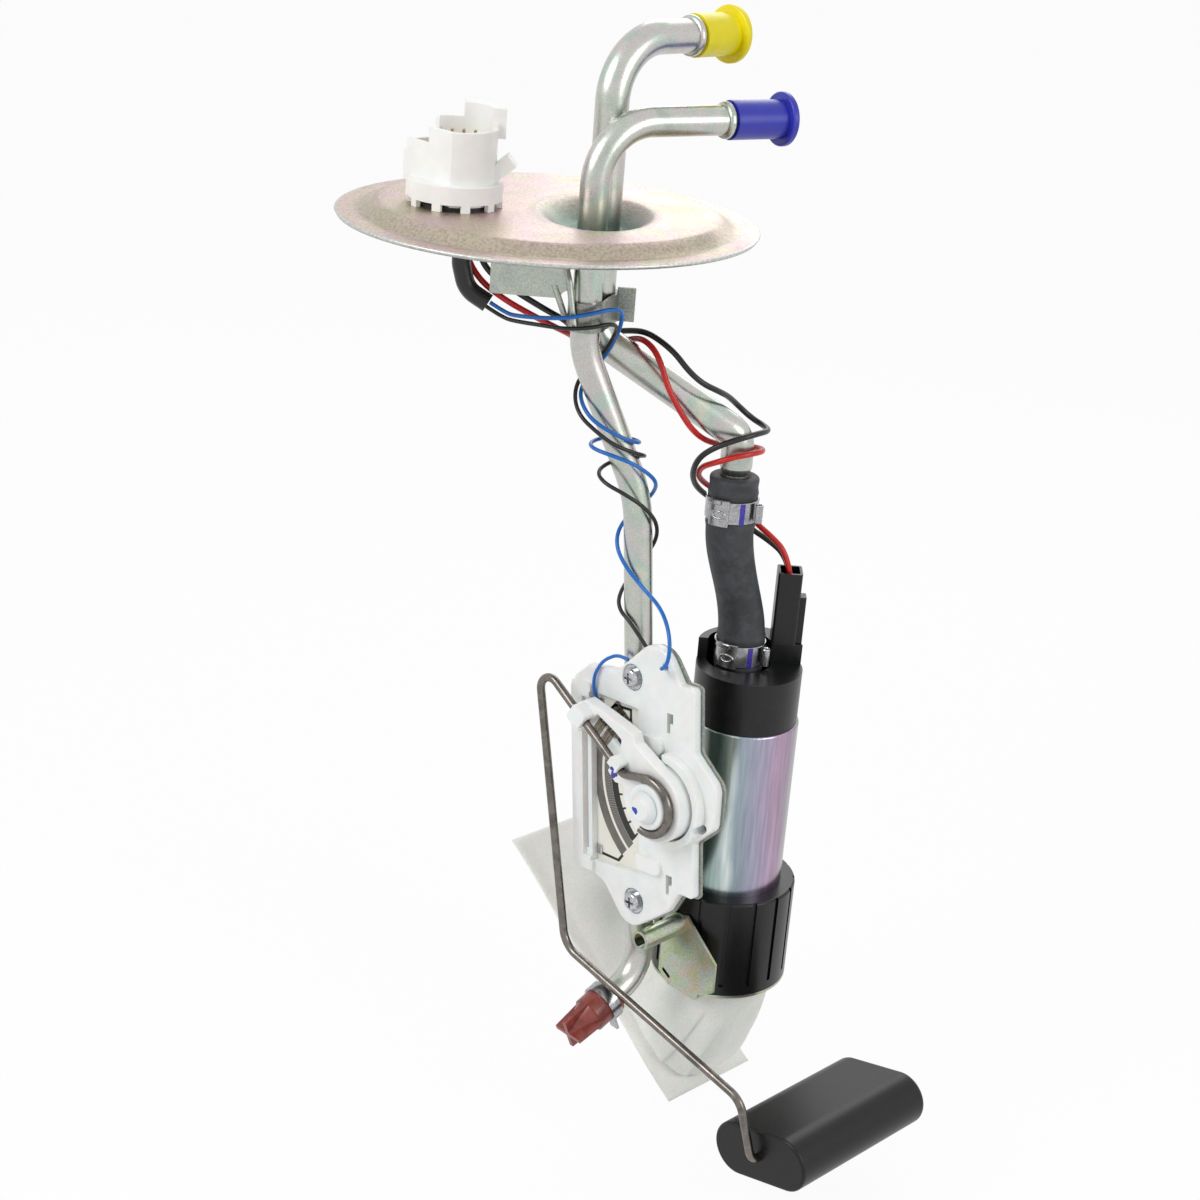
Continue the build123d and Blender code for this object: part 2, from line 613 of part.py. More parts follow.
# Pump shell: a drawn steel tube rolled over the cap at the top
shell_in = pump_r - shell_wall
with BuildPart() as pump_shell:
    with BuildSketch(level(pump_bottom, pump_x, pump_y)):
        Circle(pump_r)
        Circle(shell_in, mode=Mode.SUBTRACT)
    extrude(amount=pump_top - pump_bottom)
    fillet(pump_shell.edges().group_by(Axis.Z)[-1].sort_by(SortBy.RADIUS)[-1], shell_wall * 0.5)
save(pump_shell, "pump_shell")

# End cap: a moulded drum with a raised rear half, the outlet nozzle and the brush deck
deck_bottom = shaft_top - bush_length
with BuildPart() as pump_end_cap:
    with BuildSketch(level(pump_top, pump_x, pump_y)):
        Circle(cap_r)
    extrude(amount=cap_top - pump_top)
    with BuildSketch(level(cap_top, pump_x, pump_y, 45)):
        Circle(cap_r)
        with Locations((0, -cap_r + 4.0)):
            Rectangle(2 * cap_r, 2 * cap_r, mode=Mode.SUBTRACT)
    extrude(amount=cap_shoulder_top - cap_top)
    with BuildSketch(level(hose_bottom - running, nozzle_x, nozzle_y)):
        Circle(spigot_r + hose_wall + clamp_reach + running)
    extrude(amount=2 * cap_skirt, mode=Mode.SUBTRACT)
    with BuildSketch(level(pump_top, pump_x, pump_y)):
        Circle(shell_in - snug)
    extrude(amount=-cap_skirt)
    with BuildSketch(level(pump_top - cap_skirt, pump_x, pump_y)):
        Circle(bush_r + 2.0)
    extrude(amount=deck_bottom - pump_top + cap_skirt)
    with BuildSketch(level(deck_bottom, pump_x, pump_y)):
        Circle(bush_r + snug)
    extrude(amount=bush_length + running, mode=Mode.SUBTRACT)
    with BuildSketch(level(hose_bottom - nozzle_sunk, nozzle_x, nozzle_y)):
        Circle(spigot_r)
    extrude(amount=nozzle_top - hose_bottom + nozzle_sunk)
    with BuildSketch(level(hose_bottom - nozzle_sunk, nozzle_x, nozzle_y)):
        Circle(spigot_r - nozzle_wall)
    extrude(amount=nozzle_top - hose_bottom + nozzle_sunk, mode=Mode.SUBTRACT)
save(pump_end_cap, "pump_end_cap")

# Hose from the supply tube's spigot to the pump's nozzle
hose_route = [
    (supply_low_x, supply_low_y, hose_top),
    (supply_low_x, supply_low_y, hose_bow_z),
    (nozzle_x, nozzle_y, hose_return_z),
    (nozzle_x, nozzle_y, hose_bottom),
]
outlet_hose = swept(hose_route, hose_bend_r, spigot_r + snug + hose_wall, spigot_r + snug)
save(outlet_hose, "outlet_hose")


def hose_clamp(x, y, z):
    """Stainless band round the hose with a buckle plate and a rolled ear, facing the sender."""
    inner = spigot_r + snug + hose_wall + snug
    with BuildPart() as clamp:
        with BuildSketch(level(z - clamp_width / 2, x, y)):
            Circle(inner + clamp_thick)
            Circle(inner, mode=Mode.SUBTRACT)
        extrude(amount=clamp_width)
        buckle = Plane(
            origin=heading(x, y, z, -75, inner + clamp_thick * 0.5),
            x_dir=(sin(radians(75)), cos(radians(75)), 0),
            z_dir=(cos(radians(-75)), sin(radians(-75)), 0),
        )
        with BuildSketch(buckle):
            RectangleRounded(7.0, clamp_width + 1.6, 0.8)
        extrude(amount=1.2)
        with BuildSketch(buckle.offset(1.2)):
            SlotOverall(4.6, 2.6)
        extrude(amount=0.9)
        with BuildSketch(level(z - clamp_width / 2 + 1.0, *heading(x, y, 0, -20, inner + 1.2)[:2])):
            Circle(1.3)
        extrude(amount=clamp_width - 2.0)
        with BuildSketch(level(z - clamp_width, x, y)):
            Circle(inner)
        extrude(amount=2 * clamp_width, mode=Mode.SUBTRACT)
    return clamp


save(hose_clamp(supply_low_x, supply_low_y, clamp_top_z), "upper_hose_clamp")
save(hose_clamp(nozzle_x, nozzle_y, clamp_low_z), "lower_hose_clamp")

# Plug on the end cap: a tall hollow tower with a rail down its side
plug_foot = cap_shoulder_top + snug
with BuildPart() as pump_plug:
    with BuildSketch(level(plug_foot, harness_x, harness_y, 45)):
        RectangleRounded(harness_wide, harness_deep, 1.0)
    extrude(amount=harness_top - plug_foot)
    with BuildSketch(level(plug_foot, harness_x, harness_y, 45)):
        with Locations((harness_wide / 2 + harness_rail / 2 - 0.3, 0)):
            Rectangle(harness_rail + 0.6, harness_deep * 0.5)
    extrude(amount=harness_rail_top - plug_foot)
    with BuildSketch(level(harness_top, harness_x, harness_y, 45)):
        RectangleRounded(harness_wide - 1.8, harness_deep - 1.8, 0.6)
    extrude(amount=-4.0, mode=Mode.SUBTRACT)
    with BuildSketch(level(plug_foot, harness_x, harness_y, 45)):
        with GridLocations(0, terminal_pitch, 1, 2):
            Rectangle(terminal_width + 2 * snug, terminal_thick + 2 * snug)
    extrude(amount=terminal_height, mode=Mode.SUBTRACT)
save(pump_plug, "pump_plug")

# The pump's two blades, standing on the end cap inside the plug
with BuildPart() as pump_terminals:
    with BuildSketch(level(cap_shoulder_top, harness_x, harness_y, 45)):
        with GridLocations(0, terminal_pitch, 1, 2):
            Rectangle(terminal_width, terminal_thick)
    extrude(amount=terminal_height)
save(pump_terminals, "pump_terminals")

# Two magnets inside the shell
with BuildPart() as motor_magnets:
    with BuildSketch(level(magnet_bottom, pump_x, pump_y)):
        Circle(shell_in - snug)
        Circle(shell_in - snug - magnet_thick, mode=Mode.SUBTRACT)
        Rectangle(2 * pump_r * tan(radians(90 - magnet_arc / 2)), 3 * pump_r, mode=Mode.SUBTRACT)
    extrude(amount=magnet_top - magnet_bottom)
save(motor_magnets, "motor_magnets")

# Armature core with its slots, on the motor shaft
armature_r = shell_in - snug - magnet_thick - air_gap
with BuildPart() as armature:
    with BuildSketch(level(magnet_bottom, pump_x, pump_y)):
        Circle(armature_r)
        Circle(shaft_r + snug, mode=Mode.SUBTRACT)
        with PolarLocations(armature_r - 1.6, armature_slots):
            Circle(1.5, mode=Mode.SUBTRACT)
        with PolarLocations(armature_r, armature_slots):
            Rectangle(3.0, 0.8, mode=Mode.SUBTRACT)
    extrude(amount=magnet_top - magnet_bottom)
save(armature, "armature")

# Motor shaft
with BuildPart() as motor_shaft:
    with BuildSketch(level(shaft_bottom, pump_x, pump_y)):
        Circle(shaft_r)
    extrude(amount=shaft_top - shaft_bottom)
save(motor_shaft, "motor_shaft")

# Commutator
with BuildPart() as commutator:
    with BuildSketch(level(commutator_bottom, pump_x, pump_y)):
        Circle(commutator_r)
        Circle(shaft_r + snug, mode=Mode.SUBTRACT)
        with PolarLocations(commutator_r, armature_slots):
            Rectangle(2.0, 0.5, mode=Mode.SUBTRACT)
    extrude(amount=commutator_top - commutator_bottom)
save(commutator, "commutator")

# Two carbon brushes, hung from the brush deck of the end cap
with BuildPart() as brushes:
    with BuildSketch(level((commutator_top + commutator_bottom) / 2 - brush_high / 2, pump_x, pump_y)):
        with PolarLocations(commutator_r + running + brush_long / 2, 2):
            Rectangle(brush_long, brush_wide)
    extrude(amount=brush_high)
save(brushes, "brushes")

# Holders that carry the brushes under the end cap
with BuildPart() as brush_holders:
    holder_bottom = (commutator_top + commutator_bottom) / 2 - brush_high / 2
    holder_reach = commutator_r + running + brush_long / 2
    with BuildSketch(level(holder_bottom, pump_x, pump_y)):
        with PolarLocations(holder_reach + 0.4, 2):
            Rectangle(brush_long - 0.8, brush_wide + 2.4)
        with PolarLocations(holder_reach, 2):
            Rectangle(brush_long + 2.4, brush_wide + 2 * snug, mode=Mode.SUBTRACT)
    extrude(amount=pump_top - cap_skirt - holder_bottom)
save(brush_holders, "brush_holders")

# Sintered bushes at both ends of the shaft
stage_bush_top = stage_top + 2.0
with BuildPart() as shaft_bushes:
    for bush_bottom in (deck_bottom, stage_bush_top - bush_length):
        with BuildSketch(level(bush_bottom, pump_x, pump_y)):
            Circle(bush_r)
            Circle(shaft_r + shaft_fit, mode=Mode.SUBTRACT)
        extrude(amount=bush_length)
save(shaft_bushes, "shaft_bushes")

# Upper half of the pumping stage, with the flow passage round the impeller
stage_floor = stage_split + impeller_thick + running
with BuildPart() as stage_housing:
    with BuildSketch(level(stage_split, pump_x, pump_y)):
        Circle(shell_in - snug)
    extrude(amount=stage_top - stage_split)
    with BuildSketch(level(stage_top, pump_x, pump_y)):
        Circle(bush_r + 2.0)
    extrude(amount=stage_bush_top - stage_top)
    with BuildSketch(level(stage_split, pump_x, pump_y)):
        Circle(impeller_r + running)
    extrude(amount=impeller_thick + running, mode=Mode.SUBTRACT)
    with BuildSketch(level(stage_floor, pump_x, pump_y)):
        Circle(shaft_r + 2 * running)
    extrude(amount=stage_bush_top - stage_floor, mode=Mode.SUBTRACT)
    with BuildSketch(level(stage_bush_top, pump_x, pump_y)):
        Circle(bush_r + snug)
    extrude(amount=-bush_length, mode=Mode.SUBTRACT)
save(stage_housing, "stage_housing")

# Impeller with a row of vane pockets round its rim
with BuildPart() as impeller:
    with BuildSketch(level(stage_split, pump_x, pump_y)):
        Circle(impeller_r)
        Circle(shaft_r + snug, mode=Mode.SUBTRACT)
        with PolarLocations(impeller_r, impeller_vanes):
            Rectangle(2 * vane_depth, 2.2, mode=Mode.SUBTRACT)
    extrude(amount=impeller_thick)
save(impeller, "impeller")

# Inlet cover that closes the shell and carries the inlet spigot
with BuildPart() as inlet_cover:
    with BuildSketch(level(pump_bottom + snug, pump_x, pump_y)):
        Circle(shell_in - snug)
    extrude(amount=stage_split - running - pump_bottom - snug)
    with BuildSketch(level(pump_bottom + snug, pump_x, pump_y)):
        Circle(inlet_spigot_r)
    extrude(amount=-inlet_spigot)
    with BuildSketch(level(pump_bottom - inlet_spigot + snug, pump_x, pump_y)):
        Circle(inlet_r)
    extrude(amount=inlet_spigot + 4.0, mode=Mode.SUBTRACT)
    with BuildSketch(level(stage_split - running, pump_x, pump_y)):
        Circle(shaft_r + 2 * running)
    extrude(amount=shaft_bottom - 1.0 - stage_split, mode=Mode.SUBTRACT)
save(inlet_cover, "inlet_cover")

# Isolator ring: a ribbed rubber sleeve with a floor under the pump
with BuildPart() as isolator_ring:
    with BuildSketch(level(ring_bottom - ring_floor, pump_x, pump_y)):
        Circle(ring_r)
    extrude(amount=ring_top - ring_bottom + ring_floor)
    fillet(isolator_ring.edges().group_by(Axis.Z)[-1], 1.0)
    with BuildSketch(level(ring_bottom, pump_x, pump_y)):
        Circle(pump_r + snug)
    extrude(amount=ring_top - ring_bottom, mode=Mode.SUBTRACT)
    with BuildSketch(level(ring_bottom - ring_floor, pump_x, pump_y)):
        Circle(ring_floor_r)
    extrude(amount=ring_floor, mode=Mode.SUBTRACT)
    with BuildSketch(level(ring_bottom + 2.0, pump_x, pump_y, 45)):
        with PolarLocations(ring_r, ring_groove_count):
            Rectangle(2 * ring_groove_deep, ring_groove_wide)
    extrude(amount=ring_top - ring_bottom, mode=Mode.SUBTRACT)
save(isolator_ring, "isolator_ring")

# Pump bracket: a face plate welded to the return tube by a rolled tongue, and a lip below
bracket_front = pump_y - ring_r - snug - bracket_sheet
lip_z = ring_bottom - ring_floor - snug - bracket_sheet
tongue_x = lower_return(tongue_z)[0] + return_r + tongue_r + snug
with BuildPart() as pump_bracket:
    with BuildSketch(Plane.XZ.offset(-bracket_front)):
        Polygon(*plate_outline, (fold_right, lip_z), (fold_left, lip_z), align=None)
        with Locations((fold_left - 1.4, lip_z + 4.0)):
            SlotOverall(4.4, 1.4, rotation=-30, mode=Mode.SUBTRACT)
    extrude(amount=-bracket_sheet)
    with BuildSketch(level(lip_z, pump_x, pump_y)):
        Circle(ring_r)
        with Locations(((fold_left + fold_right) / 2 - pump_x, bracket_front - pump_y + 4.0)):
            Rectangle(fold_right - fold_left, 8.0)
        Circle(bracket_lip_r, mode=Mode.SUBTRACT)
        with Locations((0, bracket_front - pump_y - ring_r)):
            Rectangle(4 * ring_r, 2 * ring_r, mode=Mode.SUBTRACT)
    extrude(amount=bracket_sheet)
    with BuildSketch(Plane.XZ.offset(-bracket_front)):
        with Locations((tongue_x, tongue_z)):
            Circle(tongue_r)
            Circle(tongue_r - bracket_sheet, mode=Mode.SUBTRACT)
        with Locations((tongue_x, tongue_z - (1 + tongue_open) * tongue_r)):
            Rectangle(4 * tongue_r, 2 * tongue_r, mode=Mode.SUBTRACT)
    extrude(amount=tongue_reach)
save(pump_bracket, "pump_bracket")


# Sender planes: one leans with the return tube, one stays square for the float's arm
sender_plane = Plane(
    origin=(pivot_x, sender_front, pivot_z),
    x_dir=(cos(radians(lean)), 0, sin(radians(lean))), z_dir=(0, -1, 0),
)
arm_plane = Plane(origin=(pivot_x, sender_front, pivot_z), x_dir=(1, 0, 0), z_dir=(0, -1, 0))
screw_spots = [(screw_u, screw_high), (screw_u, screw_low)]

# Sender plate: the steel backing welded to the return tube
with BuildPart() as sender_plate:
    with BuildSketch(sender_plane):
        add(outlined(backing_outline, backing_rounds))
        with Locations(*screw_spots):
            Circle(screw_r + snug, mode=Mode.SUBTRACT)
    extrude(amount=-sender_plate_thick)
save(sender_plate, "sender_plate")

# Sender housing: base with a card window, two rails, ears, stops, a crescent and the pivot post
rail_level = base_thick - 0.4
with BuildPart() as sender_housing:
    with BuildSketch(sender_plane.offset(snug)):
        add(outlined(housing_outline, housing_rounds))
    extrude(amount=base_thick)
    fillet(sender_housing.faces().sort_by(Axis.Y)[0].edges(), 0.8)
    with BuildSketch(sender_plane.offset(rail_level)):
        with Locations((outer_rail_u, rail_v)):
            RectangleRounded(outer_rail_wide, rail_long, 1.0)
        with Locations((rail_end_u, rail_end_high), (rail_end_u, rail_end_low)):
            RectangleRounded(rail_end_long, outer_rail_wide, 1.2)
        with Locations(*stop_spots):
            SlotOverall(stop_long, stop_wide)
    extrude(amount=rail_height - rail_level)
    with BuildSketch(sender_plane.offset(rail_level)):
        with Locations((inner_rail_u, rail_v)):
            Rectangle(inner_rail_wide, rail_long)
    extrude(amount=base_thick + inner_rail_high - rail_level)
    with BuildSketch(sender_plane.offset(rail_level)):
        Circle(hub_r + 3 * running + crescent_thick)
        with Locations((-hub_r, 0)):
            Rectangle(2 * hub_r, 4 * hub_r, mode=Mode.SUBTRACT)
    extrude(amount=crescent_high)
    with BuildSketch(sender_plane.offset(snug)):
        Polygon(*window_outline, align=None)
        Circle(hub_r + 3 * running)
        with Locations((rail_slot_u, rail_v)):
            Rectangle(rail_slot_wide, rail_slot_long)
        for hook_u, hook_v in hook_spots:
            with Locations((hook_u, hook_v)):
                Rectangle(hook_wide, hook_long)
            with Locations((hook_u - hook_wide / 4, hook_v - hook_tail / 4)):
                Rectangle(hook_wide / 2, hook_tail)
        with Locations((bulge_hole_u, bulge_hole_v)):
            SlotOverall(3 * bulge_hole_r, 2 * bulge_hole_r, rotation=45)
        with Locations(*screw_spots):
            Circle(screw_r + snug)
        with Locations((wire_hole_u, wire_hole_v)):
            Circle(wire_hole_r)
    extrude(amount=4 * base_thick, mode=Mode.SUBTRACT)
    with BuildSketch(sender_plane.offset(base_thick - screw_sunk)):
        with Locations(*screw_spots):
            Circle(washer_r + running)
    extrude(amount=2 * base_thick, mode=Mode.SUBTRACT)
    with BuildSketch(sender_plane):
        with Locations(((card_left + card_right) / 2, (card_low + card_high) / 2)):
            Rectangle(card_right - card_left + 2 * snug, card_high - card_low + 2 * snug)
    extrude(amount=card_thick + 2 * snug, mode=Mode.SUBTRACT)
    with BuildSketch(sender_plane.offset(snug)):
        Circle(post_r)
    extrude(amount=post_front - snug)
save(sender_housing, "sender_housing")

# Ceramic card with the printed tracks
with BuildPart() as resistor_card:
    with BuildSketch(sender_plane.offset(snug)):
        with Locations(((card_left + card_right) / 2, (card_low + card_high) / 2)):
            Rectangle(card_right - card_left, card_high - card_low)
    extrude(amount=card_thick)
save(resistor_card, "resistor_card")

# Solder lugs on the card's two corners
with BuildPart() as card_lugs:
    with BuildSketch(sender_plane.offset(snug + card_thick)):
        with Locations(*lug_spots):
            Rectangle(2.6, 3.4)
    extrude(amount=0.8)
    fillet(card_lugs.faces().sort_by(Axis.Y)[:2].edges(), 0.5)
save(card_lugs, "card_lugs")

# Two pan head screws with washers, through the ears into the plate
washer_level = base_thick - screw_sunk + snug
with BuildPart() as sender_screws:
    with BuildSketch(sender_plane.offset(-sender_plate_thick - 2.0)):
        with Locations(*screw_spots):
            Circle(screw_r)
    extrude(amount=sender_plate_thick + 2.0 + washer_level)
    with BuildSketch(sender_plane.offset(washer_level)):
        with Locations(*screw_spots):
            Circle(washer_r)
    extrude(amount=washer_thick)
    with BuildSketch(sender_plane.offset(washer_level + washer_thick)):
        with Locations(*screw_spots):
            Circle(screw_head_r)
    extrude(amount=screw_head_high)
    fillet(sender_screws.edges().group_by(Axis.Y)[0], 1.2)
    with BuildSketch(sender_plane.offset(washer_level + washer_thick + screw_head_high)):
        with Locations(*screw_spots):
            Rectangle(cross_long, cross_wide)
            Rectangle(cross_wide, cross_long)
    extrude(amount=-cross_deep, mode=Mode.SUBTRACT)
save(sender_screws, "sender_screws")

# Wiper rotor: hub, boss and an open arm that carries the float wire in two clips
turned = Location((0, 0, 0), (0, 0, rotor_heading))
clip_wide = 2 * (wire_r + clip_side)
with BuildPart() as wiper_rotor:
    with BuildSketch(arm_plane.offset(hub_back)):
        Circle(hub_r)
    extrude(amount=arm_front - hub_back)
    with BuildSketch(arm_plane.offset(arm_back + shelf_thick - 0.2)):
        with Locations(turned):
            add(outlined(rotor_outline, rotor_round))
    extrude(amount=arm_front - arm_back - shelf_thick + 0.2)
    with BuildSketch(arm_plane.offset(arm_back)):
        with Locations(turned):
            with Locations(((shelf_start + shelf_end) / 2, (shelf_inner + shelf_outer) / 2)):
                Rectangle(shelf_end - shelf_start, shelf_outer - shelf_inner)
    extrude(amount=shelf_thick)
    fillet(wiper_rotor.faces().sort_by(Axis.Y)[0].edges(), 0.5)
    with BuildSketch(arm_plane.offset(arm_front)):
        Circle(hub_boss_r)
    extrude(amount=hub_boss_front - arm_front)
    fillet(wiper_rotor.faces().sort_by(Axis.Y)[0].edges(), 1.0)
    with BuildSketch(arm_plane.offset(arm_front - 0.5)):
        with Locations(turned):
            with Locations((outer_clip_at, 0)):
                RectangleRounded(outer_clip_long, clip_wide, 1.0)
            with Locations((inner_clip_at, -clip_side / 2)):
                RectangleRounded(inner_clip_long, clip_wide - clip_side, 0.8)
    extrude(amount=2 * wire_r + 0.5 + clip_over)
    with BuildSketch(arm_plane.offset(wire_level)):
        with Locations(turned):
            with Locations((inner_clip_at, clip_side + 0.5)):
                Rectangle(inner_clip_long + 1.0, 2 * clip_side)
    extrude(amount=2 * clip_side, mode=Mode.SUBTRACT)
    with BuildSketch(arm_plane):
        Circle(post_r + shaft_fit)
    extrude(amount=2 * boss_front, mode=Mode.SUBTRACT)
    groove = Plane(
        origin=arm_plane.from_local_coords((0, 0, wire_level)),
        x_dir=(0, 1, 0),
        z_dir=(cos(radians(rotor_heading)), 0, sin(radians(rotor_heading))),
    )
    with BuildSketch(groove.offset(loop_r)):
        Circle(wire_r + snug)
    extrude(amount=rotor_reach, mode=Mode.SUBTRACT)
save(wiper_rotor, "wiper_rotor")

# Contact springs on the rotor's shelf, one for each track, slit into fingers
shelf_front = arm_back + shelf_thick + snug
lift = card_thick + running
with BuildPart() as wiper_contacts:
    for reach in (track_outer_r, track_inner_r):
        tip_x, tip_z, _ = heading(0, 0, 0, rotor_heading, reach)
        contact_plane = Plane(
            origin=arm_plane.from_local_coords((tip_x, tip_z, 0)),
            x_dir=(0, -1, 0),
            z_dir=(cos(radians(rotor_heading)), 0, sin(radians(rotor_heading))),
        )
        with BuildSketch(contact_plane.offset(-contact_wide / 2)):
            Polygon(
                (shelf_front, -shelf_outer), (shelf_front + contact_thick, -shelf_outer),
                (shelf_front + contact_thick, 0.1), (lift + contact_thick, 3.0),
                (lift + contact_thick, contact_reach), (lift, contact_reach), (lift, 2.85),
                (shelf_front, -0.1), align=None,
            )
        extrude(amount=contact_wide)
        with BuildSketch(arm_plane):
            with Locations(Location((tip_x, tip_z, 0), (0, 0, rotor_heading))):
                with Locations((0, shelf_outer - 1.0 - contact_slit_long / 2)):
                    with GridLocations(contact_slit_pitch, 0, 2, 1):
                        Rectangle(contact_slit, contact_slit_long)
        extrude(amount=arm_front, mode=Mode.SUBTRACT)
save(wiper_contacts, "wiper_contacts")

# Retaining boss pressed on the post in front of the rotor
with BuildPart() as pivot_boss:
    with BuildSketch(arm_plane.offset(hub_boss_front + running)):
        Circle(boss_r)
    with BuildSketch(arm_plane.offset(boss_front)):
        Circle(boss_tip_r)
    loft()
    fillet(pivot_boss.edges().sort_by(Axis.Y)[0], 0.8)
    with BuildSketch(arm_plane.offset(hub_boss_front + running)):
        Circle(post_r + snug)
    extrude(amount=post_front + snug - hub_boss_front - running, mode=Mode.SUBTRACT)
save(pivot_boss, "pivot_boss")

# Float arm: a steel wire looped round the boss, laid along the rotor, and bent to the float
float_dx, float_dz = float_x - pivot_x, float_z - pivot_z
with BuildPart() as float_arm:
    with BuildLine(arm_plane.offset(wire_level)) as arm_path:
        loop = CenterArc((0, 0), loop_r, loop_start, loop_sweep)
        swing = loop @ 1 + (loop % 1) * 10.6
        FilletPolyline(
            loop @ 1, swing,
            (-57.0, 32.9, 0), (-33.6, -68.9, 0), (52.7, -85.1, 0), (float_dx, float_dz, 0),
            (float_dx, float_dz, -float_front + sender_front - wire_level - float_pin),
            radius=[7.0, 5.0, 9.0, 8.0, 3.2],
        )
    with BuildSketch(Plane(origin=arm_path.line @ 0, z_dir=arm_path.line % 0)):
        Circle(wire_r)
    sweep(path=arm_path.line)
save(float_arm, "float_arm")

# Float: a foamed block that turns on the end of its wire
float_plane = Plane(
    origin=(float_x, float_front, float_z),
    x_dir=(cos(radians(float_tilt)), 0, sin(radians(float_tilt))), z_dir=(0, -1, 0),
)
with BuildPart() as float_block:
    with BuildSketch(float_plane):
        SlotOverall(float_wide, float_thick)
    extrude(amount=-float_length)
    fillet(float_block.faces().sort_by(Axis.Y)[0].edges(), 1.0)
    fillet(float_block.faces().sort_by(Axis.Y)[-1].edges(), 2.0)
    with BuildSketch(float_plane):
        Circle(wire_r + shaft_fit)
    extrude(amount=-float_pin - 1.0, mode=Mode.SUBTRACT)
save(float_block, "float")

# Strainer sock: a flat woven bag whose mouth funnels up to the pump's inlet
pitch_x, pitch_z = cos(radians(sock_pitch)), sin(radians(sock_pitch))
sock_plane = Plane(
    origin=(
        sock_corner_x - sock_long / 2 * pitch_x,
        sock_corner_y + sock_deep / 2,
        sock_corner_z + sock_long / 2 * pitch_z,
    ),
    x_dir=(pitch_x, 0, -pitch_z), z_dir=(pitch_z, 0, pitch_x),
)
mouth_z = lip_z - running
collar_bottom = pump_bottom - inlet_spigot + 1.0
with BuildPart() as strainer_sock:
    with BuildSketch(sock_plane.offset(-hem_thick / 2)):
        RectangleRounded(sock_long, sock_deep, 2.0)
    extrude(amount=hem_thick)
    for side in (1, -1):
        with BuildSketch(sock_plane):
            RectangleRounded(sock_long - 2 * hem_width, sock_deep - 2 * hem_width, 4.0)
        with BuildSketch(sock_plane.offset(side * sock_puff)):
            RectangleRounded(sock_long - 8 * hem_width, sock_deep - 4 * hem_width, 6.0)
        loft()
    with BuildSketch(level(mouth_z, pump_x, pump_y)):
        Circle(mouth_r)
    with BuildSketch(sock_plane):
        with Locations((sock_long / 2 - 27.0, 0)):
            Ellipse(24.0, sock_deep / 2 - 3.0)
    loft()
    with BuildSketch(level(mouth_z, pump_x, pump_y)):
        Circle(collar_r + running)
    extrude(amount=pump_bottom - inlet_spigot - running - mouth_z, mode=Mode.SUBTRACT)
save(strainer_sock, "strainer_sock")

# Strainer collar: the moulded ring that pushes on the inlet spigot
with BuildPart() as strainer_collar:
    with BuildSketch(level(collar_bottom, pump_x, pump_y)):
        Circle(collar_r)
        Circle(inlet_spigot_r + snug, mode=Mode.SUBTRACT)
    extrude(amount=pump_bottom - 2 * running - collar_bottom)
save(strainer_collar, "strainer_collar")

# Check valve: a rubber sleeve on the tube's foot that closes in a cross-shaped beak
foot_point, foot_last = Vector(*foot_corner), Vector(*foot_end)
foot_along = (foot_last - foot_point).normalized()
valve_plane = Plane(
    origin=foot_last - foot_along * valve_sleeve * 0.6, x_dir=(1, 0, 0), z_dir=foot_along,
)
with BuildPart() as check_valve:
    with BuildSketch(valve_plane):
        Circle(valve_r)
    extrude(amount=valve_sleeve)
    with BuildSketch(valve_plane.offset(valve_sleeve)):
        Circle(valve_r - 0.5)
    with BuildSketch(valve_plane.offset(valve_sleeve + valve_beak)):
        Circle(1.4)
    loft()
    with BuildSketch(valve_plane.offset(valve_sleeve)):
        Rectangle(2 * valve_r, 2.2)
        Rectangle(2.2, 2 * valve_r)
    with BuildSketch(valve_plane.offset(valve_sleeve + valve_beak)):
        Rectangle(2 * valve_r - 1.0, 1.6)
        Rectangle(1.6, 2 * valve_r - 1.0)
    loft()
    with BuildSketch(valve_plane):
        Circle(return_r + snug)
    extrude(amount=valve_sleeve * 0.6 + running, mode=Mode.SUBTRACT)
save(check_valve, "check_valve")

# Spring clamp round the valve's sleeve, with its tail
with BuildPart() as valve_clamp:
    with BuildSketch(valve_plane.offset(1.6)):
        Circle(valve_r + snug + 0.8)
        Circle(valve_r + snug, mode=Mode.SUBTRACT)
    extrude(amount=4.2)
    with BuildSketch(valve_plane.offset(1.9)):
        with Locations((0, -valve_r - clamp_tail_long / 2)):
            Rectangle(clamp_tail_wide, clamp_tail_long)
    extrude(amount=1.0)
    with BuildSketch(valve_plane):
        Circle(valve_r + snug)
    extrude(amount=2 * valve_sleeve, mode=Mode.SUBTRACT)
save(valve_clamp, "valve_clamp")

# Heat-shrink sleeve that gathers the thin wires under the connector
wire_sleeve = swept(sleeve_route, sleeve_bend_r, sleeve_r)
save(wire_sleeve, "wire_sleeve")


def wire(points, radius, name):
    """Round wire through its points, each corner rounded as far as its shorter run allows."""
    corners = [Vector(*point) for point in points]
    bends = []
    for before, corner, after in zip(corners, corners[1:], corners[2:]):
        turn = (corner - before).get_angle(after - corner)
        shorter = min((corner - before).length, (after - corner).length)
        bends.append(0.45 * shorter / tan(radians(turn / 2)))
    print(name, "smallest bend", round(min(bends), 1), "in diameters", round(min(bends) / radius / 2, 1))
    save(swept(points, bends, radius), name)


wire(blue_route, thin_wire_r, "blue_wire")
wire(thin_black_route, thin_wire_r, "thin_black_wire")
wire(red_route, thick_wire_r, "red_wire")
wire(thick_black_route, thick_wire_r, "thick_black_wire")
wire(card_lead_route, card_lead_r, "card_lead")
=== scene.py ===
# %% [markdown]
# # Fuel pump module
#
# This lesson dresses the solid model of an in-tank fuel pump module.

# %% Load the frame
import math

import bmesh
import bpy
from mathutils import Matrix, Vector
import numpy as np


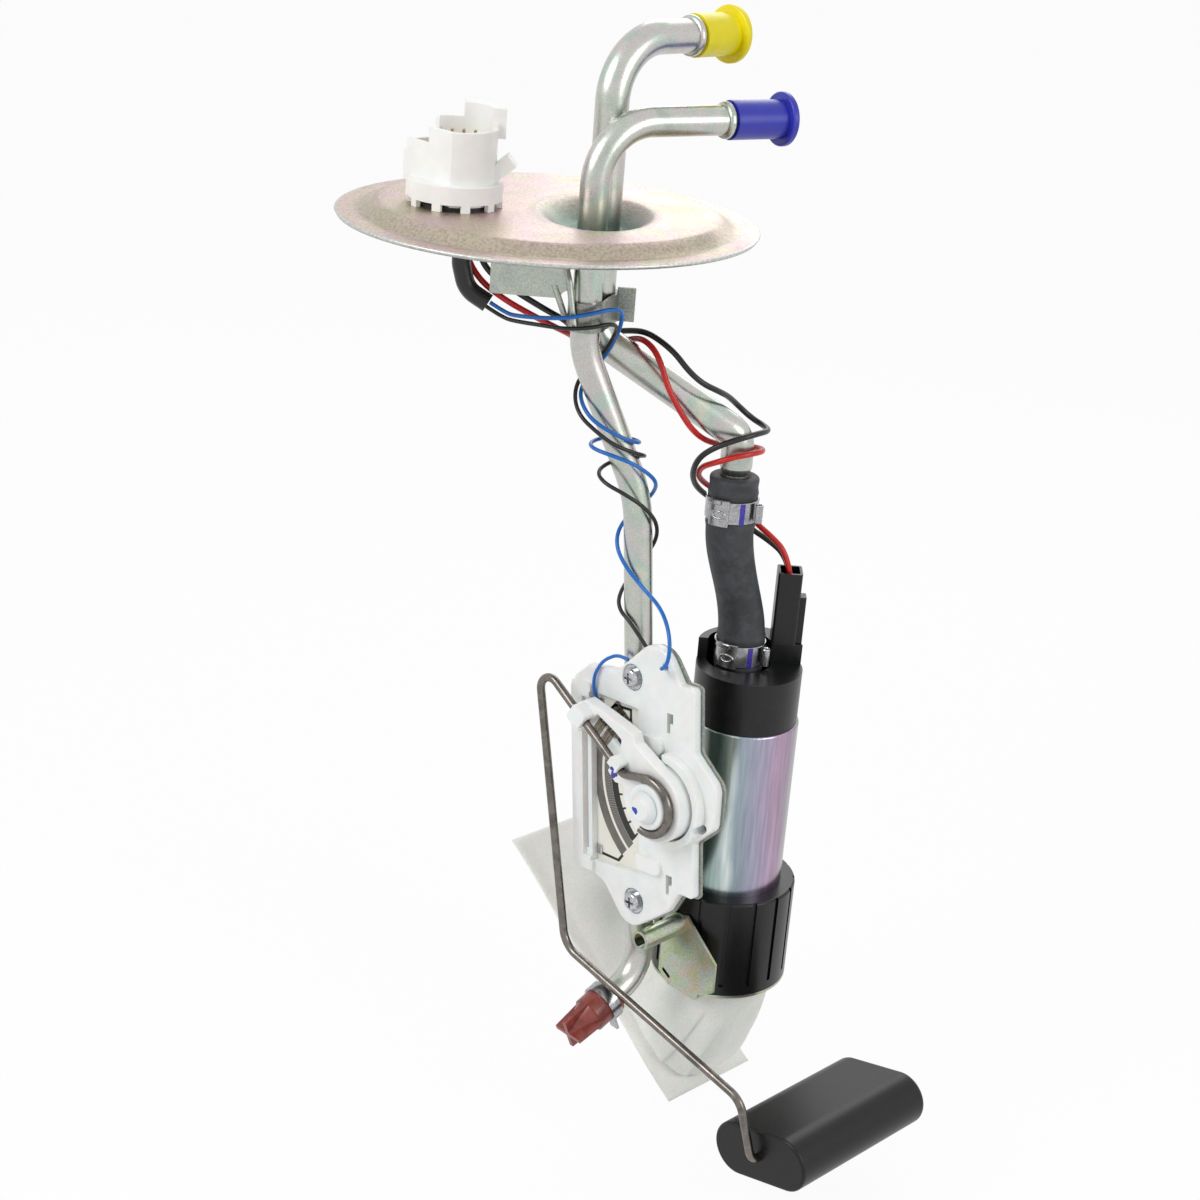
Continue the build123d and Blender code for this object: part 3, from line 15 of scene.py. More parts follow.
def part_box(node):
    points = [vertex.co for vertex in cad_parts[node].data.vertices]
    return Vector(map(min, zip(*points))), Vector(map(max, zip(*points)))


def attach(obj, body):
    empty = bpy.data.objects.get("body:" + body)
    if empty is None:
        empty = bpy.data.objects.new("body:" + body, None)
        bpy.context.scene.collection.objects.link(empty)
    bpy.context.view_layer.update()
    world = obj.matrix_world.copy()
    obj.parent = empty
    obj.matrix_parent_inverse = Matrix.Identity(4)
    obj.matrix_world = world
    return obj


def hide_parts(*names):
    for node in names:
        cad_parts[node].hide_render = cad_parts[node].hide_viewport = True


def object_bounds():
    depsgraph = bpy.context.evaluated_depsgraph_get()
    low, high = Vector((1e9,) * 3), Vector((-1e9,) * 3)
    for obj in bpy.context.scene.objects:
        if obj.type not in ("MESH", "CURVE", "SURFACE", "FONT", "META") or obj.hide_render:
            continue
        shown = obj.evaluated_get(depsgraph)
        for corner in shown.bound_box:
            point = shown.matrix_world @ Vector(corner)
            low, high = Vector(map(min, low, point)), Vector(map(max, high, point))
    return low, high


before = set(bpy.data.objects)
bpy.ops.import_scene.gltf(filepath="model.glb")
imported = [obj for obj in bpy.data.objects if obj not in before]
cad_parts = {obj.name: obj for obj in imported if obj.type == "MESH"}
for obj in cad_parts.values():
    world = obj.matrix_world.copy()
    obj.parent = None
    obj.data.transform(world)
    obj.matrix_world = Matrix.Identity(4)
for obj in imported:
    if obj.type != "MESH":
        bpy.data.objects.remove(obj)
cad_low, cad_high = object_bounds()
MM = 0.001
print("CAD box in mm:", [round((h - l) / MM, 1) for l, h in zip(cad_low, cad_high)])

# %% [markdown]
# ## Camera
#
# A camera can be aimed by hand or from measurements. This one was worked out from the
# flange's ellipse and the upright tubes: it looks down 21.8 degrees along the heading
# (-1, 1), with the object leaning 4.4 degrees in the picture.

# %% Camera
LOOK_DOWN, HEADING, LEAN = math.radians(21.8), math.radians(45.0), math.radians(4.4)
CAMERA_MM = np.array([487.2, -450.8, 137.1])
LENS_MM, SENSOR_MM = 63.0, 36.0

forward = np.array([-math.sin(HEADING) * math.cos(LOOK_DOWN),
                    math.cos(HEADING) * math.cos(LOOK_DOWN), -math.sin(LOOK_DOWN)])
level_right = np.array([math.cos(HEADING), math.sin(HEADING), 0.0])
level_up = np.cross(level_right, forward)
right = math.cos(LEAN) * level_right + math.sin(LEAN) * level_up
up = np.cross(right, forward)

lens = bpy.data.cameras.new("camera")
lens.lens, lens.sensor_width, lens.sensor_fit = LENS_MM, SENSOR_MM, "HORIZONTAL"
lens.clip_start, lens.clip_end = 0.02, 20.0
camera = bpy.data.objects.new("camera", lens)
bpy.context.collection.objects.link(camera)
camera.rotation_mode = "QUATERNION"
camera.rotation_quaternion = Matrix(np.array([right, up, -forward]).T.tolist()).to_quaternion()
camera.location = (CAMERA_MM * MM).tolist()
bpy.context.scene.camera = camera
print("camera at", [round(v, 4) for v in camera.location])

# %% [markdown]
# ## Wires
#
# The four wires are limp insulated copper. Each is one smooth spline whose control points are
# laid round the two tubes, and a round bevel gives it its thickness.

# %% Wire routes
WIRE_MM = {"blue_wire": 1.35, "thin_black_wire": 1.35, "red_wire": 2.0, "thick_black_wire": 2.0}
WIRE_ROUTES = {
    "blue_wire": [
        (-4.1, -19.0, -25.4), (-0.1, -15.5, -28.4), (5.2, -16.0, -28.0), (13.2, -13.0, -27.2),
        (20.9, -9.1, -26.0), (26.4, -3.3, -24.0), (28.8, 2.5, -22.7), (28.7, 7.5, -23.5),
        (26.5, 10.2, -28.3), (22.9, 11.6, -34.5), (19.4, 11.4, -40.7), (16.3, 8.7, -46.5),
        (16.1, 3.7, -52.0), (21.7, -0.2, -55.4), (27.4, -0.4, -59.2), (32.4, 3.6, -62.4),
        (35.6, 8.8, -65.1), (34.6, 15.1, -67.1), (28.7, 18.2, -68.0), (23.2, 15.8, -68.3),
        (19.7, 10.9, -68.8), (21.0, 4.8, -69.2), (26.2, 2.2, -69.3), (31.9, 3.9, -70.0),
        (36.7, 8.4, -71.8), (39.4, 13.9, -75.4), (38.3, 20.4, -80.6), (33.0, 24.0, -86.9),
        (28.5, 20.6, -93.1), (27.9, 14.6, -98.0), (31.2, 10.7, -102.9), (36.4, 10.3, -108.1),
        (43.5, 12.3, -114.0), (53.0, 10.7, -116.6), (60.8, 7.4, -120.4), (65.3, 4.6, -126.0),
        (65.0, 4.0, -132.0), (61.8, 3.9, -134.6), (60.6, 9.5, -134.9),
    ],
    "thin_black_wire": [
        (-5.0, -19.8, -26.8), (-0.8, -16.1, -30.0), (4.9, -15.6, -29.9), (12.9, -12.6, -29.6),
        (21.2, -8.7, -29.5), (26.7, -3.0, -28.4), (29.0, 2.4, -27.3), (27.5, 7.5, -29.0),
        (23.8, 9.4, -34.3), (19.8, 9.6, -39.8), (15.9, 7.8, -45.0), (15.1, 3.3, -49.7),
        (18.1, -0.4, -54.3), (22.9, -1.9, -58.5), (28.2, -0.4, -61.9), (32.9, 3.5, -66.0),
        (36.6, 9.1, -68.6), (36.4, 15.9, -71.1), (30.9, 19.9, -73.3), (25.3, 18.2, -75.0),
        (22.7, 12.0, -76.8), (24.4, 6.0, -78.3), (30.2, 3.9, -80.0), (36.6, 7.0, -82.4),
        (40.5, 12.2, -86.3), (41.1, 18.5, -92.5), (37.5, 23.5, -100.6), (33.1, 22.9, -108.7),
        (30.3, 18.9, -115.9), (31.2, 13.5, -121.6), (34.8, 11.4, -125.0), (40.6, 10.7, -126.6),
        (49.0, 11.7, -134.1),
    ],
    "red_wire": [
        (-15.1, -21.6, -2.5), (-15.1, -21.6, -10.0), (-10.3, -19.4, -19.0), (-1.9, -14.6, -24.7),
        (4.0, -9.0, -28.5), (8.1, -2.5, -32.3), (7.9, 4.4, -35.5), (4.5, 11.4, -39.1),
        (5.1, 19.6, -41.2), (9.8, 24.9, -41.1), (17.0, 26.0, -37.8), (24.0, 23.5, -36.4),
        (29.7, 22.9, -38.3), (33.8, 22.5, -42.6), (36.3, 23.6, -49.4), (39.4, 26.4, -56.4),
        (41.7, 30.9, -63.3), (41.1, 38.7, -68.5), (41.2, 48.1, -71.4), (45.3, 53.6, -71.5),
        (51.4, 54.2, -70.6), (56.3, 50.6, -69.7), (57.4, 44.0, -69.2), (54.9, 38.2, -70.0),
        (50.3, 35.3, -72.5), (43.1, 34.9, -76.2), (36.5, 41.3, -83.0), (36.4, 51.6, -89.7),
        (42.7, 58.3, -94.7), (48.6, 60.0, -99.4), (54.0, 61.6, -102.4), (59.8, 63.7, -107.0),
        (61.5, 64.9, -115.0),
    ],
    "thick_black_wire": [
        (-9.8, -20.6, -2.5), (-9.8, -20.6, -9.0), (-6.0, -18.7, -16.5), (3.3, -10.9, -23.0),
        (7.9, -4.8, -27.2), (8.9, 1.9, -30.7), (4.9, 8.7, -34.9), (3.6, 17.4, -37.6),
        (7.5, 23.9, -37.8), (14.7, 25.5, -35.7), (22.3, 25.4, -34.3), (29.3, 25.8, -35.8),
        (35.5, 26.7, -38.7), (40.2, 28.0, -43.1), (44.0, 31.2, -47.0), (45.3, 37.8, -50.2),
        (43.6, 44.8, -53.4), (42.4, 51.0, -57.6), (45.0, 55.4, -62.0), (51.0, 56.2, -63.6),
        (56.3, 52.1, -63.0), (58.1, 44.7, -62.3), (56.2, 38.4, -63.5), (51.5, 33.4, -66.4),
        (45.8, 31.4, -71.1), (40.8, 33.7, -78.1), (36.9, 39.8, -85.3), (36.2, 48.3, -91.4),
        (40.3, 56.3, -96.7), (44.7, 61.1, -102.3), (50.4, 64.4, -105.4), (56.6, 66.8, -109.2),
        (58.9, 67.5, -115.0),
    ],
}


def spline_length(curve_object):
    """Length of a curve: the sum of the steps along its line, taken with no bevel."""
    bare = curve_object.copy()
    bare.data = curve_object.data.copy()
    bare.data.bevel_depth = 0.0
    bpy.context.collection.objects.link(bare)
    bpy.context.view_layer.update()
    line = bpy.data.meshes.new_from_object(bare.evaluated_get(
        bpy.context.evaluated_depsgraph_get()))
    spots = np.array([v.co[:] for v in line.vertices])
    bpy.data.meshes.remove(line)
    bpy.data.objects.remove(bare)
    return float(np.linalg.norm(np.diff(spots, axis=0), axis=1).sum())


SPLINE_ORDER, SPLINE_STEPS, BEVEL_STEPS = 3, 8, 4


def lay_wire(name, route_mm, thickness_mm):
    """One NURBS spline drawn by the route's control points, bevelled round. The points
    carry the radius, because a curve's box is grown by it and not by the bevel."""
    curve = bpy.data.curves.new(name, "CURVE")
    curve.dimensions = "3D"
    curve.bevel_depth = 1.0
    curve.bevel_resolution = BEVEL_STEPS
    curve.use_fill_caps = True
    spline = curve.splines.new("NURBS")
    spline.points.add(len(route_mm) - 1)
    spots = np.c_[np.array(route_mm) * MM, np.ones(len(route_mm))]
    spline.points.foreach_set("co", spots.ravel())
    spline.points.foreach_set("radius", np.full(len(route_mm), thickness_mm / 2 * MM))
    spline.order_u = SPLINE_ORDER
    spline.use_endpoint_u = True
    spline.resolution_u = SPLINE_STEPS
    piece = bpy.data.objects.new(name + "_cord", curve)
    bpy.context.collection.objects.link(piece)
    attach(piece, "module")
    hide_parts(name)
    length = spline_length(piece)
    print(f"{name}: {length / MM:.0f} mm long, {thickness_mm} mm thick")
    return piece


wires = {name: lay_wire(name, route, WIRE_MM[name]) for name, route in WIRE_ROUTES.items()}

# %% [markdown]
# ## Helpers for materials
#
# A material is a small net of nodes. Colours are written as sRGB hex, which one function
# turns to the linear values that Blender works in, and one function adds any node.

# %% Node helpers
def linear(code):
    """sRGB hex such as #c8c4b8 as linear red, green, blue and alpha."""
    srgb = np.array([int(code[i:i + 2], 16) for i in (1, 3, 5)]) / 255
    value = np.where(srgb <= 0.04045, srgb / 12.92, ((srgb + 0.055) / 1.055) ** 2.4)
    return (*value.tolist(), 1.0)


def add_node(tree, kind, settings=(), inputs=()):
    """Adds a node. Settings are its properties; an input is a value or another socket."""
    node = tree.nodes.new(kind)
    for key, value in dict(settings).items():
        setattr(node, key, value)
    for key, value in dict(inputs).items():
        if isinstance(value, bpy.types.NodeSocket):
            tree.links.new(value, node.inputs[key])
        else:
            node.inputs[key].default_value = value
    return node


def maths(tree, operation, *values):
    """Result of one sum on numbers or sockets."""
    return add_node(tree, "ShaderNodeMath", {"operation": operation},
                    dict(enumerate(values))).outputs[0]


def ranged(tree, value, **ends):
    """Maps a value from one range to another, 0 to 1 where an end isn't given."""
    ends = {key.replace("_", " "): end for key, end in ends.items()}
    return add_node(tree, "ShaderNodeMapRange", (), {"Value": value, **ends}).outputs[0]


def noise_at(tree, place, size_mm, detail, **more):
    """Noise from 0 to 1 with blobs of a size in mm."""
    return add_node(tree, "ShaderNodeTexNoise", (), {
        "Vector": place, "Scale": 1 / (size_mm * MM), "Detail": detail, **more}).outputs["Fac"]


def stretched(tree, place, stretch):
    """Coordinates scaled along each axis, which draws a pattern out or squeezes it."""
    return add_node(tree, "ShaderNodeMapping", (), {"Vector": place, "Scale": stretch}).outputs[0]


def seen_from(tree, place, middle_mm, **turned):
    """Coordinates measured from another middle, with its own turn and scale."""
    return add_node(tree, "ShaderNodeMapping", {"vector_type": "TEXTURE"}, {
        "Vector": place, "Location": [v * MM for v in middle_mm], **turned}).outputs[0]


def angle_share(tree, place):
    """Angle round the upright axis, as a share of a full turn."""
    return add_node(tree, "ShaderNodeTexGradient", {"gradient_type": "RADIAL"},
                    {"Vector": place}).outputs["Fac"]


def colours_along(tree, value, stops):
    """Colour stops (position, hex) read at a value from 0 to 1."""
    ramp = add_node(tree, "ShaderNodeValToRGB", (), {"Fac": value})
    points = ramp.color_ramp.elements
    while len(points) < len(stops):
        points.new(0.5)
    for point, (position, code) in zip(points, stops):
        point.position, point.color = position, linear(code)
    return ramp.outputs["Color"]


def blend_colours(tree, below, above, share, mode="MIX"):
    """Lays one colour over another by a share. The Mix node's sockets 0, 6 and 7 are the
    share and the two colours, and its output 2 is the mixed colour."""
    return add_node(tree, "ShaderNodeMix", {"data_type": "RGBA", "blend_type": mode},
                    {0: share, 6: below, 7: above}).outputs[2]


# %% Material helpers
EVEN = (1.0, 1.0, 1.0)


def start_material(name, roughness, metallic=0.0, **sockets):
    """A Principled material with its plain values set, and its Object coordinates."""
    material = bpy.data.materials.new(name)
    material.use_nodes = True
    tree = material.node_tree
    shader = tree.nodes["Principled BSDF"]
    shader.inputs["Roughness"].default_value = roughness
    shader.inputs["Metallic"].default_value = metallic
    for key, value in sockets.items():
        shader.inputs[key.replace("_", " ")].default_value = value
    place = add_node(tree, "ShaderNodeTexCoord").outputs["Object"]
    return material, tree, shader, place


def mottle(tree, place, size_mm, stops, detail=3.0, stretch=EVEN, warp=0.0):
    """Noise with blobs of a size in mm, run through colour stops (position, hex)."""
    noise = noise_at(tree, stretched(tree, place, stretch), size_mm, detail, Distortion=warp)
    return colours_along(tree, noise, stops)


def roughen(tree, shader, place, size_mm, height_mm, stretch=EVEN):
    """Fine relief: noise of a grain size in mm, as a bump of a height in mm."""
    noise = noise_at(tree, stretched(tree, place, stretch), size_mm, 2.0)
    bump = add_node(tree, "ShaderNodeBump", (), {
        "Height": noise, "Distance": height_mm * MM, "Strength": 1.0})
    tree.links.new(bump.outputs[0], shader.inputs["Normal"])


# %% [markdown]
# ## Zinc-plated steel
#
# The flange, tubes and plates are pressed or drawn steel with a thin clear or yellow zinc
# passivate. The film gives soft patches of pink, straw and pale green over a grey satin
# metal, and drawn parts keep a fine grain along their length.

# %% Steel
FILM_WARP, SPECK_SHARE, DULL_PATCH = 0.6, 0.85, 0.3


def passivated_steel(name, stops, patch_mm, roughness, grain_mm, grain_height_mm,
                     stretch=EVEN, zones=(), speckle="#c4c4c4"):
    """Zinc-plated steel: patches of passivate colour, zones laid over them by share (each a
    function that gives a mask socket, and its colour), crystal specks, and duller patches."""
    material, tree, shader, place = start_material(name, roughness, 1.0)
    colour = mottle(tree, place, patch_mm, stops, detail=2.0, warp=FILM_WARP)
    for mask, code in zones:
        colour = blend_colours(tree, colour, linear(code), mask(tree, place))
    specks = mottle(tree, place, grain_mm * 1.2, [(0.34, speckle), (0.62, "#ffffff")], 4.0,
                    stretch)
    colour = blend_colours(tree, colour, specks, SPECK_SHARE, "MULTIPLY")
    tree.links.new(colour, shader.inputs["Base Color"])
    dull = ranged(tree, noise_at(tree, place, patch_mm * DULL_PATCH, 4.0),
                  To_Min=roughness - 0.07, To_Max=roughness + 0.1)
    tree.links.new(dull, shader.inputs["Roughness"])
    roughen(tree, shader, place, grain_mm, grain_height_mm, stretch)
    return material


# %% [markdown]
# The press stretched the flange's film, so its wall, its dish and its bare edge differ in colour.
# The wall's olive and the dish's dark green are partly the film's tint and partly painted shade:
# the wall slopes away from the light and the dish is a hollow. A zone is a mask read along the
# distance from a middle, in units of half axes, on which an endless third axis leaves the height
# out.

# %% Flange and tubes
FAR = 1e6
FLANGE_AXES = (67.5, 67.5, FAR)
DISH_MIDDLE, DISH_TURN = (14.5, 7.0), math.radians(135.0)
# The wall zone runs over the wall, from the plateau out to the rim; its olive is partly the
# film's tint and partly painted shade on the slope.
WALL_TINT_AND_SHADE_ZONE = [(0.76, "#000000"), (0.84, "#e0e0e0"), (0.89, "#e0e0e0"), (0.93, "#000000")]
EDGE_ZONE = [(0.978, "#000000"), (0.992, "#ffffff")]
# The dish zone is partly the film's green tint and partly painted shade in the hollow, full over
# its inner half and fading out to its edge.
DISH_TINT_AND_SHADE_ZONE = [(0.50, "#ffffff"), (0.98, "#000000")]


def disc_zone(stops, middle_mm=(0.0, 0.0, 0.0), axes_mm=FLANGE_AXES, turn=0.0):
    """Mask read from colour stops along the distance from an upright axis."""
    def mask(tree, place):
        local = seen_from(tree, place, middle_mm, Rotation=(0.0, 0.0, turn),
                          Scale=[v * MM for v in axes_mm])
        reach = add_node(tree, "ShaderNodeVectorMath", {"operation": "LENGTH"}, {0: local})
        return colours_along(tree, reach.outputs["Value"], stops)
    return mask


flange_zinc = passivated_steel(
    "zinc_plated_pressed_steel",
    [(0.28, "#b9b59c"), (0.40, "#cbbfae"), (0.50, "#d2bdb8"), (0.58, "#cdb6bb"),
     (0.68, "#c6bda8"), (0.80, "#b4bfae")], 24.0, 0.40, 0.8, 0.010, zones=[
        # The wall and dish zones lay painted shade along with the film's tint; the bare edge is
        # the steel's own pale colour.
        (disc_zone(WALL_TINT_AND_SHADE_ZONE), "#b5ae99"),
        (disc_zone(DISH_TINT_AND_SHADE_ZONE, (*DISH_MIDDLE, 0.0), (33.0, 23.0, FAR), DISH_TURN), "#63786d"),
        (disc_zone(EDGE_ZONE), "#d0d2ce")], speckle="#d6d2cc")
tube_zinc = passivated_steel(
    "zinc_plated_drawn_tube",
    [(0.30, "#b4bbb3"), (0.42, "#c6cac1"), (0.52, "#cbc4c4"), (0.62, "#b7c6bd"),
     (0.75, "#cdcfc1")], 15.0, 0.28, 0.35, 0.005, speckle="#e2e4e1")

# %% [markdown]
# The rolled shell's film changes colour round the pump, so its stops go by the angle, which
# drifts a little. The stops also hold painted light: a dark band on one side is painted shade,
# and two near-white streaks are painted highlights. Long thin noise gives the drawn grain.

# %% Pump shell
PUMP_MIDDLE, DRIFT_SHARE = (57.4, 53.4), 0.07
# Teal, lavender and pink are the film's own colours; the dark stops at 0.10 to 0.17 are painted
# shade, and the near-white stops at 0.225 to 0.25 and 0.345 are painted highlights.
SHELL_FILM_AND_PAINTED_LIGHT = [
    (0.00, "#7d878c"), (0.10, "#5c666b"), (0.17, "#6d7b80"), (0.225, "#c9d4d4"),
    (0.25, "#dfe7e6"), (0.275, "#93a9a6"), (0.32, "#a5b7b4"), (0.345, "#d9e3e1"),
    (0.37, "#9aa9b2"), (0.43, "#a9a6ba"), (0.49, "#b9a0b8"), (0.53, "#ad95ab"),
    (0.58, "#9d9aa0"), (0.66, "#8fa19a"), (0.78, "#a9aea0"), (0.90, "#8c9aa2")]
shell_zinc, tree, shader, place = start_material("zinc_plated_rolled_shell", 0.25, 1.0)
round_pump = angle_share(tree, seen_from(tree, place, (*PUMP_MIDDLE, 0.0)))
drifted = maths(tree, "MULTIPLY_ADD", noise_at(tree, place, 30.0, 2.0), DRIFT_SHARE, round_pump)
shifted = maths(tree, "SUBTRACT", drifted, DRIFT_SHARE / 2)
# The film's colours read by the angle, with painted shade and painted highlights among them.
film_and_painted_light = colours_along(tree, shifted, SHELL_FILM_AND_PAINTED_LIGHT)
drawn = mottle(tree, place, 1.2, [(0.32, "#dcdedf"), (0.66, "#ffffff")], 3.0, (1.0, 1.0, 0.06))
tree.links.new(blend_colours(tree, film_and_painted_light, drawn, 0.8, "MULTIPLY"), shader.inputs["Base Color"])
roughen(tree, shader, place, 0.6, 0.004, (1.0, 1.0, 0.2))

# %% Other metals
plate_zinc = passivated_steel(
    "zinc_plated_cut_plate",
    [(0.3, "#8f948c"), (0.5, "#a6a69c"), (0.7, "#939a96")], 12.0, 0.34, 0.5, 0.010)
yellow_zinc = passivated_steel(
    "yellow_green_passivated_bracket",
    [(0.28, "#a4b493"), (0.40, "#bac4a4"), (0.50, "#b9c2bb"), (0.58, "#c6b8a6"),
     (0.66, "#b7bd94"), (0.78, "#9fb7a4")], 9.0, 0.30, 0.6, 0.008, speckle="#d8dad2")
hanger_zinc = passivated_steel(
    "grainy_galvanised_plate",
    [(0.3, "#b2b8b0"), (0.5, "#bcc2ba"), (0.7, "#c2c4b8")], 6.0, 0.36, 0.5, 0.012,
    speckle="#dbdfd9")
clamp_steel = passivated_steel(
    "stainless_clamp_band",
    [(0.3, "#a2a3a5"), (0.5, "#b8b8ba"), (0.7, "#9a9b9f")], 6.0, 0.20, 0.4, 0.004)
arm_steel = passivated_steel(
    "drawn_stainless_wire",
    [(0.3, "#6f6b66"), (0.5, "#86807a"), (0.7, "#68645f")], 7.0, 0.24, 0.3, 0.003,
    speckle="#d6d6d6")
screw_steel = passivated_steel(
    "chromed_screw", [(0.3, "#b4b6ba"), (0.6, "#cfd0d4")], 3.0, 0.14, 0.4, 0.002)
shaft_steel = passivated_steel(
    "ground_shaft_steel", [(0.3, "#a9abb0"), (0.6, "#bfc0c4")], 5.0, 0.18, 0.3, 0.002)
laminated_steel = passivated_steel(
    "varnished_laminations", [(0.3, "#4a3a30"), (0.6, "#6a5546")], 5.0, 0.42, 0.35, 0.02,
    (1.0, 1.0, 6.0))
brass_blade = passivated_steel(
    "tinned_brass_blade", [(0.3, "#b9a05a"), (0.6, "#cbb26c")], 4.0, 0.26, 0.3, 0.003)
copper_segment = passivated_steel(
    "drawn_copper", [(0.3, "#a9603c"), (0.6, "#c07a50")], 3.0, 0.3, 0.3, 0.005)
contact_alloy = passivated_steel(
    "contact_spring_alloy", [(0.3, "#6f685e"), (0.6, "#8d8474")], 3.0, 0.30, 0.3, 0.004)
solder = passivated_steel(
    "bright_solder", [(0.3, "#b8b8ba"), (0.6, "#d2d2d2")], 2.0, 0.2, 0.8, 0.03)

# %% [markdown]
# ## Plastics and rubbers
#
# Moulded parts are nylon or acetal: their faces are satin with a faint orange peel, and the white
# ones let a little light in. Rubber is duller and has patches of grey dust.

# %% Plastic and rubber finishes
def moulded(name, dark, pale, patch_mm, roughness, grain_mm, grain_height_mm, dust=None,
            **sockets):
    """Moulded plastic or rubber: a colour that drifts from dark to pale, orange peel, and
    dust, given as its colour, patch size in mm and greatest share."""
    material, tree, shader, place = start_material(name, roughness, 0.0, **sockets)
    colour = mottle(tree, place, patch_mm, [(0.3, dark), (0.7, pale)])
    if dust:
        code, size_mm, share = dust
        mask = noise_at(tree, place, size_mm, 6.0, Roughness=0.7)
        amount = ranged(tree, mask, From_Min=0.48, From_Max=0.75, To_Min=0.0, To_Max=share)
        colour = blend_colours(tree, colour, linear(code), amount)
    tree.links.new(colour, shader.inputs["Base Color"])
    roughen(tree, shader, place, grain_mm, grain_height_mm)
    return material


white_nylon = moulded("natural_white_nylon", "#f0f0ed", "#f8f8f6", 9.0, 0.38, 0.8, 0.008,
                      Subsurface_Weight=0.25, Subsurface_Scale=0.002)
sender_nylon = moulded("translucent_white_acetal", "#eef0ee", "#f8f9f8", 7.0, 0.30, 0.9, 0.010,
                       Subsurface_Weight=0.35, Subsurface_Scale=0.003)
black_nylon = moulded("black_glass_filled_nylon", "#0a0b0c", "#111213", 6.0, 0.34, 0.5, 0.02,
                      ("#252627", 3.0, 0.3), Specular_IOR_Level=0.4)
hose_rubber = moulded("fuel_hose_rubber", "#2a2c2f", "#393c40", 10.0, 0.62, 0.7, 0.03,
                      ("#565a5e", 5.0, 0.5))
ring_rubber = moulded("ribbed_isolator_ring", "#070708", "#0f0f10", 8.0, 0.30, 0.6, 0.02,
                      ("#1c1d1d", 4.0, 0.3), Specular_IOR_Level=0.4)
gasket_rubber = moulded("flat_gasket_rubber", "#101112", "#1c1d1e", 6.0, 0.6, 0.5, 0.02)
float_foam = moulded("closed_cell_float_foam", "#070707", "#0d0d0e", 6.0, 0.36, 0.45, 0.035,
                     ("#19191a", 2.0, 0.5), Specular_IOR_Level=0.35)
valve_rubber = moulded("red_brown_nitrile", "#6f2a24", "#93433a", 4.0, 0.30, 0.6, 0.05,
                       ("#a9655a", 2.5, 0.35))
blue_plastic = moulded("blue_transit_cap", "#272ba0", "#3237b4", 8.0, 0.34, 0.8, 0.006)
yellow_plastic = moulded("yellow_transit_cap", "#e8d800", "#f4e61a", 8.0, 0.34, 0.8, 0.006,
                         Subsurface_Weight=0.2, Subsurface_Scale=0.002)
heat_shrink = moulded("heat_shrink_sleeve", "#121314", "#1c1d1f", 4.0, 0.36, 0.9, 0.05)
stage_resin = moulded("phenolic_pump_stage", "#2c211a", "#3b2d24", 4.0, 0.5, 0.4, 0.02)
ferrite = moulded("sintered_ferrite", "#232324", "#303031", 3.0, 0.6, 0.4, 0.03)
carbon = moulded("carbon_brush", "#151516", "#222223", 2.0, 0.55, 0.3, 0.02)
ceramic = moulded("fired_alumina_card", "#eceade", "#f3f1e8", 8.0, 0.35, 0.5, 0.004)
wire_skins = {
    "blue_wire": moulded("blue_wire_insulation", "#0a63b8", "#1272cc", 4.0, 0.32, 0.8, 0.006),
    "black_wire": moulded("black_wire_insulation", "#101112", "#1b1c1d", 4.0, 0.34, 0.8, 0.006),
    "red_wire": moulded("red_wire_insulation", "#c01512", "#d6201a", 4.0, 0.32, 0.8, 0.006)}

# %% Put the finishes on the CAD nodes
FINISH = [
    (flange_zinc, "flange_plate"), (tube_zinc, "return_tube supply_tube"),
    (plate_zinc, "tube_strap sender_plate"), (hanger_zinc, "hanger_bracket"),
    (yellow_zinc, "pump_bracket"), (shell_zinc, "pump_shell"), (arm_steel, "float_arm"),
    (clamp_steel, "upper_hose_clamp lower_hose_clamp valve_clamp"),
    (screw_steel, "sender_screws"), (shaft_steel, "motor_shaft"),
    (laminated_steel, "armature"), (copper_segment, "commutator shaft_bushes"),
    (brass_blade, "connector_terminals pump_terminals brush_holders"),
    (contact_alloy, "wiper_contacts"), (solder, "card_lugs"), (ceramic, "resistor_card"),
    (blue_plastic, "blue_cap"), (yellow_plastic, "yellow_cap"), (white_nylon, "connector_body"),
    (sender_nylon, "sender_housing wiper_rotor pivot_boss"),
    (black_nylon, "pump_end_cap pump_plug inlet_cover strainer_collar"),
    (stage_resin, "stage_housing impeller"), (gasket_rubber, "connector_gasket"),
    (ring_rubber, "isolator_ring"), (hose_rubber, "outlet_hose"), (heat_shrink, "wire_sleeve"),
    (valve_rubber, "check_valve"), (float_foam, "float"), (ferrite, "motor_magnets"),
    (carbon, "brushes"), (wire_skins["blue_wire"], "card_lead"),
]


def dress(piece, material):
    """Gives a piece or a CAD node one finish."""
    piece.data.materials.clear()
    piece.data.materials.append(material)


for material, names in FINISH:
    for name in names.split():
        dress(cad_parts[name], material)
for name, piece in wires.items():
    dress(piece, wire_skins[name.replace("thin_", "").replace("thick_", "")])
print(sum(len(names.split()) for _, names in FINISH), "CAD nodes have a finish")

# %% [markdown]
# ## Surfaces from arrays
#
# New pieces are grids: a shape is a function of two parameters, worked out for every grid
# point at once and handed to Blender as one mesh.

